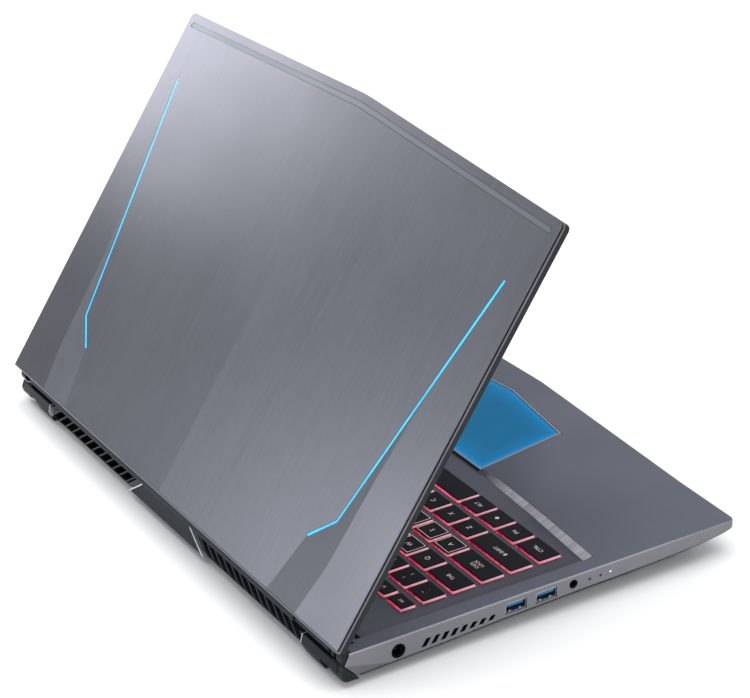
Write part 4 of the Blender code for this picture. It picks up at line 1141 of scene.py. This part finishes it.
def make_centre_block():
    """Plain block between the two grilles, with a slanted silver trim at each end."""
    refined("rear_centre_block", "base", "rear", 0.5, 3)
    profile = [(125.0, REAR_TOP_Z), (127.0, REAR_TOP_Z), (128.5, BLOCK_LOW_Z + 0.6), (128.0, BLOCK_LOW_Z)]
    profile.append((125.0, BLOCK_LOW_Z))
    for side, name in SIDES:
        bm = bmesh.new()
        verts = extrude_outline(bm, profile, BLOCK_LOW_HALF + 0.05, BLOCK_LOW_HALF + 1.5, "X")
        slant(verts, side, BLOCK_LOW_Z)
        make_trim(f"block_trim_{name}", bm, 0.12)


def make_rear_corners():
    """Corner blocks behind the hinges, each with a thin silver trim on its inner end."""
    outline = [(122.0, 13.2), (127.4, 13.2), (128.5, 8.4), (127.0, 4.8), (122.0, 5.4)]
    for side, name in SIDES:
        refined(f"rear_corner_{name}", "base", "rear", 0.45, 3)
        bm = bmesh.new()
        low, high = sorted((side * 157.65, side * 158.15))
        extrude_outline(bm, outline, low, high, "X")
        make_trim(f"corner_trim_{name}", bm, 0.1)


# ---- underside

SCREWS_X = (-165.0, -60.0, 60.0, 165.0)
SCREWS_Y = (-80.0, 15.0, 104.0)


def make_case_screws():
    """Countersunk screws with a cross recess, under the base."""
    bm = bmesh.new()
    for x in SCREWS_X:
        for y in SCREWS_Y:
            drum(bm, (x, y, 1.86), 2.3, 0.36, 28, 2.6)
            for half_x, half_y in ((1.3, 0.25), (0.25, 1.3)):
                block(bm, (x - half_x, y - half_y, 1.64), (x + half_x, y + half_y, 1.9), 1)
    screws = add_solid("case_screws", bm, "base", "steel black")
    round_edges(screws, 0.08, 2, smooth=40.0)


# ---- stage, lights and camera

FLOOR_HALF = 6.0


def make_floor():
    bm = bmesh.new()
    corners = ((-1, -1), (1, -1), (1, 1), (-1, 1))
    bm.faces.new([bm.verts.new((x * FLOOR_HALF, y * FLOOR_HALF, 0.0)) for x, y in corners])
    floor = bpy.data.objects.new("floor", finish_mesh(bm, "floor"))
    bpy.context.scene.collection.objects.link(floor)
    made = Shader("floor_paper").fixed(Roughness=0.9)
    made.base(made.mix(made.noise(6.0), (0.93, 0.93, 0.94), (0.96, 0.96, 0.96)))
    floor.data.materials.append(made.material)


def area_light(name, place, target, size, power):
    data = bpy.data.lights.new(name, "AREA")
    data.shape = "RECTANGLE"
    data.size, data.size_y = size
    data.energy = power
    lamp = bpy.data.objects.new(name, data)
    bpy.context.scene.collection.objects.link(lamp)
    lamp.location = place
    lamp.rotation_euler = (Vector(target) - Vector(place)).to_track_quat("-Z", "Y").to_euler()
    lamp.visible_camera = False


# Each light as (name, place, target, size, power), in metres and watts.
LIGHTS = (
    ("lid_softbox", (0.555, 0.155, 0.345), (0.21, 0.0, 0.21), (0.26, 0.26), 1.04),
    ("rear_softbox", (0.55, 1.0, 0.35), (-0.15, 0.12, 0.05), (0.5, 0.3), 1.9),
    ("overhead_softbox", (-0.3, -0.1, 2.0), (0.0, 0.0, 0.0), (2.0, 2.0), 28.0),
    ("side_softbox", (-1.8, -0.6, 0.8), (-0.1, 0.0, 0.05), (1.4, 1.0), 8.0),
    ("front_softbox", (0.9, -1.0, 0.9), (0.0, -0.05, 0.03), (0.8, 0.6), 2.0),
)


def make_lights():
    world = bpy.data.worlds.new("studio")
    bpy.context.scene.world = world
    world.use_nodes = True
    background = world.node_tree.nodes["Background"].inputs
    background["Color"].default_value = (0.97, 0.985, 1.0, 1.0)
    background["Strength"].default_value = 0.62
    for light in LIGHTS:
        area_light(*light)


# The photo's viewpoint: place in millimetres, angles in degrees, lens in millimetres.
CAMERA_PLACE = (-1186.22, 674.06, 744.34)
CAMERA_AZIMUTH = 239.88
CAMERA_ELEVATION = 25.99
CAMERA_ROLL = -1.95
CAMERA_LENS = 125.46


def make_camera():
    azimuth, elevation, roll = (math.radians(v) for v in (CAMERA_AZIMUTH, CAMERA_ELEVATION, CAMERA_ROLL))
    flat = math.cos(elevation)
    back = Vector((math.sin(azimuth) * flat, -math.cos(azimuth) * flat, math.sin(elevation)))
    level = (-back).cross(Vector((0, 0, 1))).normalized()
    up = level.cross(-back)
    across = math.cos(roll) * level + math.sin(roll) * up
    upward = -math.sin(roll) * level + math.cos(roll) * up
    data = bpy.data.cameras.new("camera")
    data.lens = CAMERA_LENS
    data.sensor_width = 36.0
    data.clip_start = 0.05
    data.clip_end = 50.0
    camera = bpy.data.objects.new("camera", data)
    bpy.context.scene.collection.objects.link(camera)
    turn = Matrix((across, upward, back)).transposed()
    camera.matrix_world = Matrix.Translation(Vector(CAMERA_PLACE) * MM) @ turn.to_4x4()
    bpy.context.scene.camera = camera


# ---- looks of each part


# Crease on the side walls, from the rear end forward, as (y, z); below it the wall is painted darker as
# shade.
CREASE = ((126.1, 14.5), (98.3, 7.6))
TONE_LENGTH = 260.0
TONE_WIDTH = 200.0
# Painted shading of the lid's panels next to the hinge, as (inner, wedge, outer) factors that stand in for
# the light each folded panel catches, on the -X side and on the +X side.
LIGHT_SIDE_PAINTED_SHADES = (1.18, 0.76, 1.18)
DARK_SIDE_PAINTED_SHADES = (1.0, 1.22, 0.84)
PAINTED_SHADE_FADE = (70.0, 190.0)
LID_BASE_TONE = 0.68


def facet_line(made, path, distance):
    """|x| in metres of a facet line at a distance from the hinge edge."""
    node = made.add("ShaderNodeFloatCurve", {"Value": made.math("DIVIDE", distance, TONE_LENGTH * MM)})
    curve = node.mapping.curves[0]
    curve.points[0].location = (0.0, path[0][0] / TONE_WIDTH)
    curve.points[1].location = (1.0, path[-1][0] / TONE_WIDTH)
    for x, d in path[1:]:
        curve.points.new(d / TONE_LENGTH, x / TONE_WIDTH)
    for point in curve.points:
        point.handle_type = "VECTOR"
    node.mapping.update()
    return made.math("MULTIPLY", node.outputs["Value"], TONE_WIDTH * MM)


def lid_painted_facet_shading(made):
    """Painted shading: a grey factor that makes some folded panels of the lid lighter and others darker, as
    the light they catch would, strongest by the hinge.
    """
    axes = made.axes()
    distance = made.math("SUBTRACT", LID_REAR * MM, axes["Y"])
    across = made.math("ABSOLUTE", axes["X"])
    soft = 0.35 * MM
    past = []
    for line in (VALLEY, RIDGE):
        beyond = made.math("SUBTRACT", across, facet_line(made, line, distance))
        past.append(made.spread(beyond, 0.0, 1.0, -soft, soft))
    sides = []
    for panel_shades in (LIGHT_SIDE_PAINTED_SHADES, DARK_SIDE_PAINTED_SHADES):
        inner, wedge, outer = ((painted_shading * LID_BASE_TONE,) * 3 for painted_shading in panel_shades)
        sides.append(made.mix(past[1], made.mix(past[0], inner, wedge), outer))
    folded = made.mix(made.spread(axes["X"], 0.0, 1.0, -soft, soft), *sides)
    fade = made.spread(distance, 0.0, 1.0, PAINTED_SHADE_FADE[0] * MM, PAINTED_SHADE_FADE[1] * MM)
    return made.mix(fade, folded, (LID_BASE_TONE,) * 3)


def key_skirt_look():
    """Clear skirt lit from below: pale where the cap's edge shows, uneven pink and red elsewhere."""
    made = Shader("key_skirt").fixed(Roughness=0.3, Base_Color=(0.10, 0.03, 0.04, 1.0))
    made.fixed(Specular_IOR_Level=0.3, Emission_Strength=1.0)
    glow = made.add("ShaderNodeAttribute", attribute_name="glow").outputs["Color"]
    shares = made.add("ShaderNodeSeparateColor", {"Color": glow}).outputs
    lumps = made.spread(made.noise(330.0, detail=1.0), 0.0, 1.0, 0.36, 0.64)
    red = made.mix(lumps, (0.22, 0.001, 0.010), (1.0, 0.014, 0.11))
    hot = made.spread(made.noise(420.0, detail=1.0), 0.0, 0.5, 0.60, 0.72)
    red = made.mix(hot, red, (1.0, 0.30, 0.50))
    red = made.mix(shares["Green"], (0.0, 0.0, 0.0), red)
    made.join(made.mix(shares["Red"], red, (0.66, 0.44, 0.49)), "Emission Color")
    made.bump(lumps, 0.02)
    return made.material


def trackpad_look():
    """Blue glow, brighter along the edge, with fine specks."""
    made = Shader("trackpad_glow").fixed(Roughness=0.5, Base_Color=(0.003, 0.012, 0.025, 1.0))
    made.fixed(Specular_IOR_Level=0.03, Emission_Strength=1.0)
    share = made.add("ShaderNodeAttribute", attribute_name="glow").outputs["Fac"]
    speck = made.noise(2500.0, detail=2.0)
    inner = made.mix(made.spread(made.noise(16.0), 0.0, 1.0), (0.004, 0.105, 0.235), (0.006, 0.135, 0.285))
    color = made.mix(share, inner, (0.0, 0.24, 0.60))
    made.join(made.mix(made.spread(speck, 0.0, 0.25), color, (0.02, 0.20, 0.38)), "Emission Color")
    made.bump(speck, 0.01)
    return made.material


def milled_look():
    """Bright strip with fine marks across it, dark near its inner end."""
    made = Shader("milled_strip").fixed(Metallic=0.6, Roughness=0.38)
    marks = made.noise(1500.0, (1.0, 0.02, 0.02))
    across = made.math("ABSOLUTE", made.axes()["X"])
    color = made.mix(made.spread(marks, 0.0, 1.0, 0.35, 0.65), (0.25, 0.25, 0.28), (0.50, 0.50, 0.53))
    bright = made.spread(across, 0.0, 1.0, 78.0 * MM, 100.0 * MM)
    made.join(made.mix(bright, (0.07, 0.075, 0.095), color), "Base Color")
    made.bump(marks, 0.01)
    return made.material


def wall_painted_facet_shade(made):
    """Painted shade: darker below the slanted crease at the rear end of each side wall, on the lower facet
    that turns away from the light.
    """
    axes = made.axes()
    (y0, z0), (y1, z1) = CREASE
    slope = (z1 - z0) / (y1 - y0)
    line = made.math("ADD", made.math("MULTIPLY", axes["Y"], slope), (z0 - slope * y0) * MM)
    below = made.spread(made.math("SUBTRACT", line, axes["Z"]), 0.0, 1.0, -0.15 * MM, 0.15 * MM)
    return made.mix(below, (1.0, 1.0, 1.0), (0.68, 0.67, 0.67))


# Settings that the looks share or that would make their lines too long.
DIM = {"wear": 0.12, "Specular_IOR_Level": 0.2}
WALL = {"depth": 0.004, "contrast": 0.04, "wear": 0.35}
KEYCAP = {"depth": 0.012, "grain": 300.0, "Specular_IOR_Level": 0.05}
TONGUE = {"depth": 0.003, "Emission_Color": (0.0, 0.12, 0.3, 1.0), "Emission_Strength": 0.25}


def all_looks():
    return {
        # The lid's base colour carries painted shading of its folded panels.
        "lid": brushed("lid_brushed_metal", (0.187, 0.195, 0.227), 0.36, "Y", painted_shading=lid_painted_facet_shading),
        "antenna": plain("antenna_window", (0.135, 0.15, 0.17), 0.4, 0.55, depth=0.003, contrast=0.04),
        "lip": plain("lid_lip_plastic", (0.11, 0.135, 0.155), 0.42, 0.3, wear=0.2),
        "light": lit("light_bar", (0.010, 0.36, 0.74), 1.1, 0.35, 60.0),
        "mask": plain("screen_mask", (0.008, 0.008, 0.01), 0.3, depth=0.002),
        "screen": plain("screen_surface", (0.006, 0.007, 0.01), 0.22, depth=0.001, Coat_Weight=0.4),
        "lens": plain("camera_lens", (0.01, 0.012, 0.03), 0.05, depth=0.0),
        "rubber": plain("rubber", (0.018, 0.018, 0.019), 0.85, depth=0.03),
        # Black for dark parts, and as painted shade in holes, slots, notches and the grille.
        "black": plain("black_and_painted_shade", (0.003, 0.003, 0.004), 0.8, Specular_IOR_Level=0.1),
        "keycap": plain("keycap_plastic", (0.0045, 0.006, 0.0105), 0.5, **KEYCAP),
        "skirt": key_skirt_look(),
        "legend": lit("key_legend", (0.62, 0.42, 0.44), 0.55, 0.05, body=(0.22, 0.20, 0.20)),
        "membrane": plain("keyboard_membrane", (0.03, 0.004, 0.006), 0.6),
        "backlight": lit("key_backlight", (0.75, 0.006, 0.05), 1.6, 0.8, 260.0),
        "trackpad": trackpad_look(),
        "deck": brushed("deck_brushed_metal", (0.076, 0.084, 0.112), 0.42, "X", 0.75, streak=0.08),
        "recess": brushed("recess_brushed_metal", (0.043, 0.049, 0.070), 0.45, "X", 0.7, streak=0.08),
        "wall": plain("wall_satin_metal", (0.20, 0.20, 0.222), 0.4, 0.75, painted_shading=wall_painted_facet_shade, **WALL),
        "chamfer": plain("polished_chamfer", (0.33, 0.33, 0.35), 0.3, 0.9, depth=0.0, contrast=0.04),
        "milled": milled_look(),
        "bezel": plain("bezel_plastic", (0.013, 0.0165, 0.02), 0.5, wear=0.12, Specular_IOR_Level=0.25),
        "edge_metal": plain("lid_edge_metal", (0.15, 0.145, 0.165), 0.38, 0.8, depth=0.003, wear=0.3),
        # Near black: painted shadow in the gap round the lid's edge, and painted shade on the power socket's
        # pin deep in its hole.
        "groove": plain("lid_gap_painted_shade", (0.012, 0.013, 0.015), 0.6),
        "rear": plain("rear_plastic", (0.008, 0.012, 0.015), 0.5, depth=0.01, **DIM),
        # The fins get the strongest painted edge highlight, for the light lines along their edges.
        "fin": plain("fin_plastic", (0.018, 0.022, 0.026), 0.45, 0.1, wear=0.6, Specular_IOR_Level=0.3),
        "trim": plain("silver_trim", (0.66, 0.70, 0.72), 0.35, 0.4, depth=0.002),
        "pad_frame": plain("trackpad_frame", (0.15, 0.16, 0.195), 0.4, 0.3, depth=0.002, contrast=0.05),
        "bottom": plain("bottom_plastic", (0.02, 0.022, 0.025), 0.6, depth=0.04, wear=0.1),
        "steel": plain("dark_steel", (0.10, 0.105, 0.11), 0.38, 0.9, depth=0.003),
        "socket": plain("socket_steel", (0.45, 0.45, 0.46), 0.32, 1.0, depth=0.003),
        "tongue": plain("usb_tongue", (0.0, 0.10, 0.24), 0.45, **TONGUE),
        "gold": plain("contact_gold", (0.42, 0.34, 0.22), 0.35, 1.0, depth=0.002),
        "guide": plain("light_guide_plastic", (0.04, 0.04, 0.045), 0.3),
        "status": lit("status_light", (0.75, 0.80, 1.0), 1.2),
        "board": plain("circuit_board", (0.015, 0.06, 0.035), 0.45),
        "battery": plain("battery_wrap", (0.02, 0.02, 0.024), 0.4),
        "copper": plain("copper", (0.55, 0.25, 0.14), 0.35, 1.0, depth=0.004),
    }


# CAD nodes that stay as they are, under the look that they get.
CARRIED = {
    "battery": ("battery",),
    "board": ("motherboard",),
    "copper": ("heat_spreader", "heatsink_left", "heatsink_right"),
    "rear": ("fan_housing_left", "fan_housing_right"),
    "black": ("fan_impeller_left", "fan_impeller_right", "speaker_left", "speaker_right"),
    "steel": ("keyboard_plate",),
}


def make_lid():
    make_lid_shell()
    make_antenna_strip()
    make_lid_lights()
    make_lid_hinge_strip()
    make_screen()
    make_bezel_details()
    # The lid frame shows only as a thin gap, painted near black as its shadow.
    refined("lid_frame", "lid", "groove", 0.1, 1)
    refined("lid_edge_trim", "lid", "edge_metal", 0.2, 2)
    refined("lid_bezel", "lid", "bezel", 0.5, 3)


def make_base():
    refined("top_case", "base", "deck recess wall black chamfer", 0.22, 2, case_material)
    make_notch_shade_patches()
    make_recess_strips()
    make_keys()
    make_backlight()
    make_trackpad()
    refined("trackpad_bezel", "base", "pad_frame", 0.12, 2)
    refined("power_button", "power_button", "steel", 0.4, 3)
    make_slot_shade_sheets()
    make_usb("usb_socket_rear")
    make_usb("usb_socket_front")
    make_round_socket("audio_socket", 1.8, 0.0)
    make_round_socket("power_socket", 3.3, 0.9)
    refined("ethernet_socket", "base", "socket", 0.15, 2)
    make_status_lights()
    make_hinge_barrel()
    make_centre_block()
    for side, name in SIDES:
        make_grille(side, name)
        refined(f"hinge_arm_{name}", "lid", "rear", 0.25, 2)
        refined(f"hinge_base_{name}", "base", "rear", 0.2, 2)
        refined(f"foot_front_{name}", "base", "rubber", 0.5, 3)
        refined(f"foot_rear_{name}", "base", "rubber", 0.5, 3)
    make_rear_corners()
    refined("bottom_cover", "base", "bottom", 0.3, 2)
    make_case_screws()


def dress_carried_nodes():
    for look, nodes in CARRIED.items():
        for node in nodes:
            mesh = frame["nodes"][node].data
            mesh.materials.clear()
            mesh.materials.append(LOOKS[look])


LOOKS.update(all_looks())
make_lid()
make_base()
dress_carried_nodes()
make_floor()
make_lights()
make_camera()
bpy.context.scene.view_settings.view_transform = "Standard"
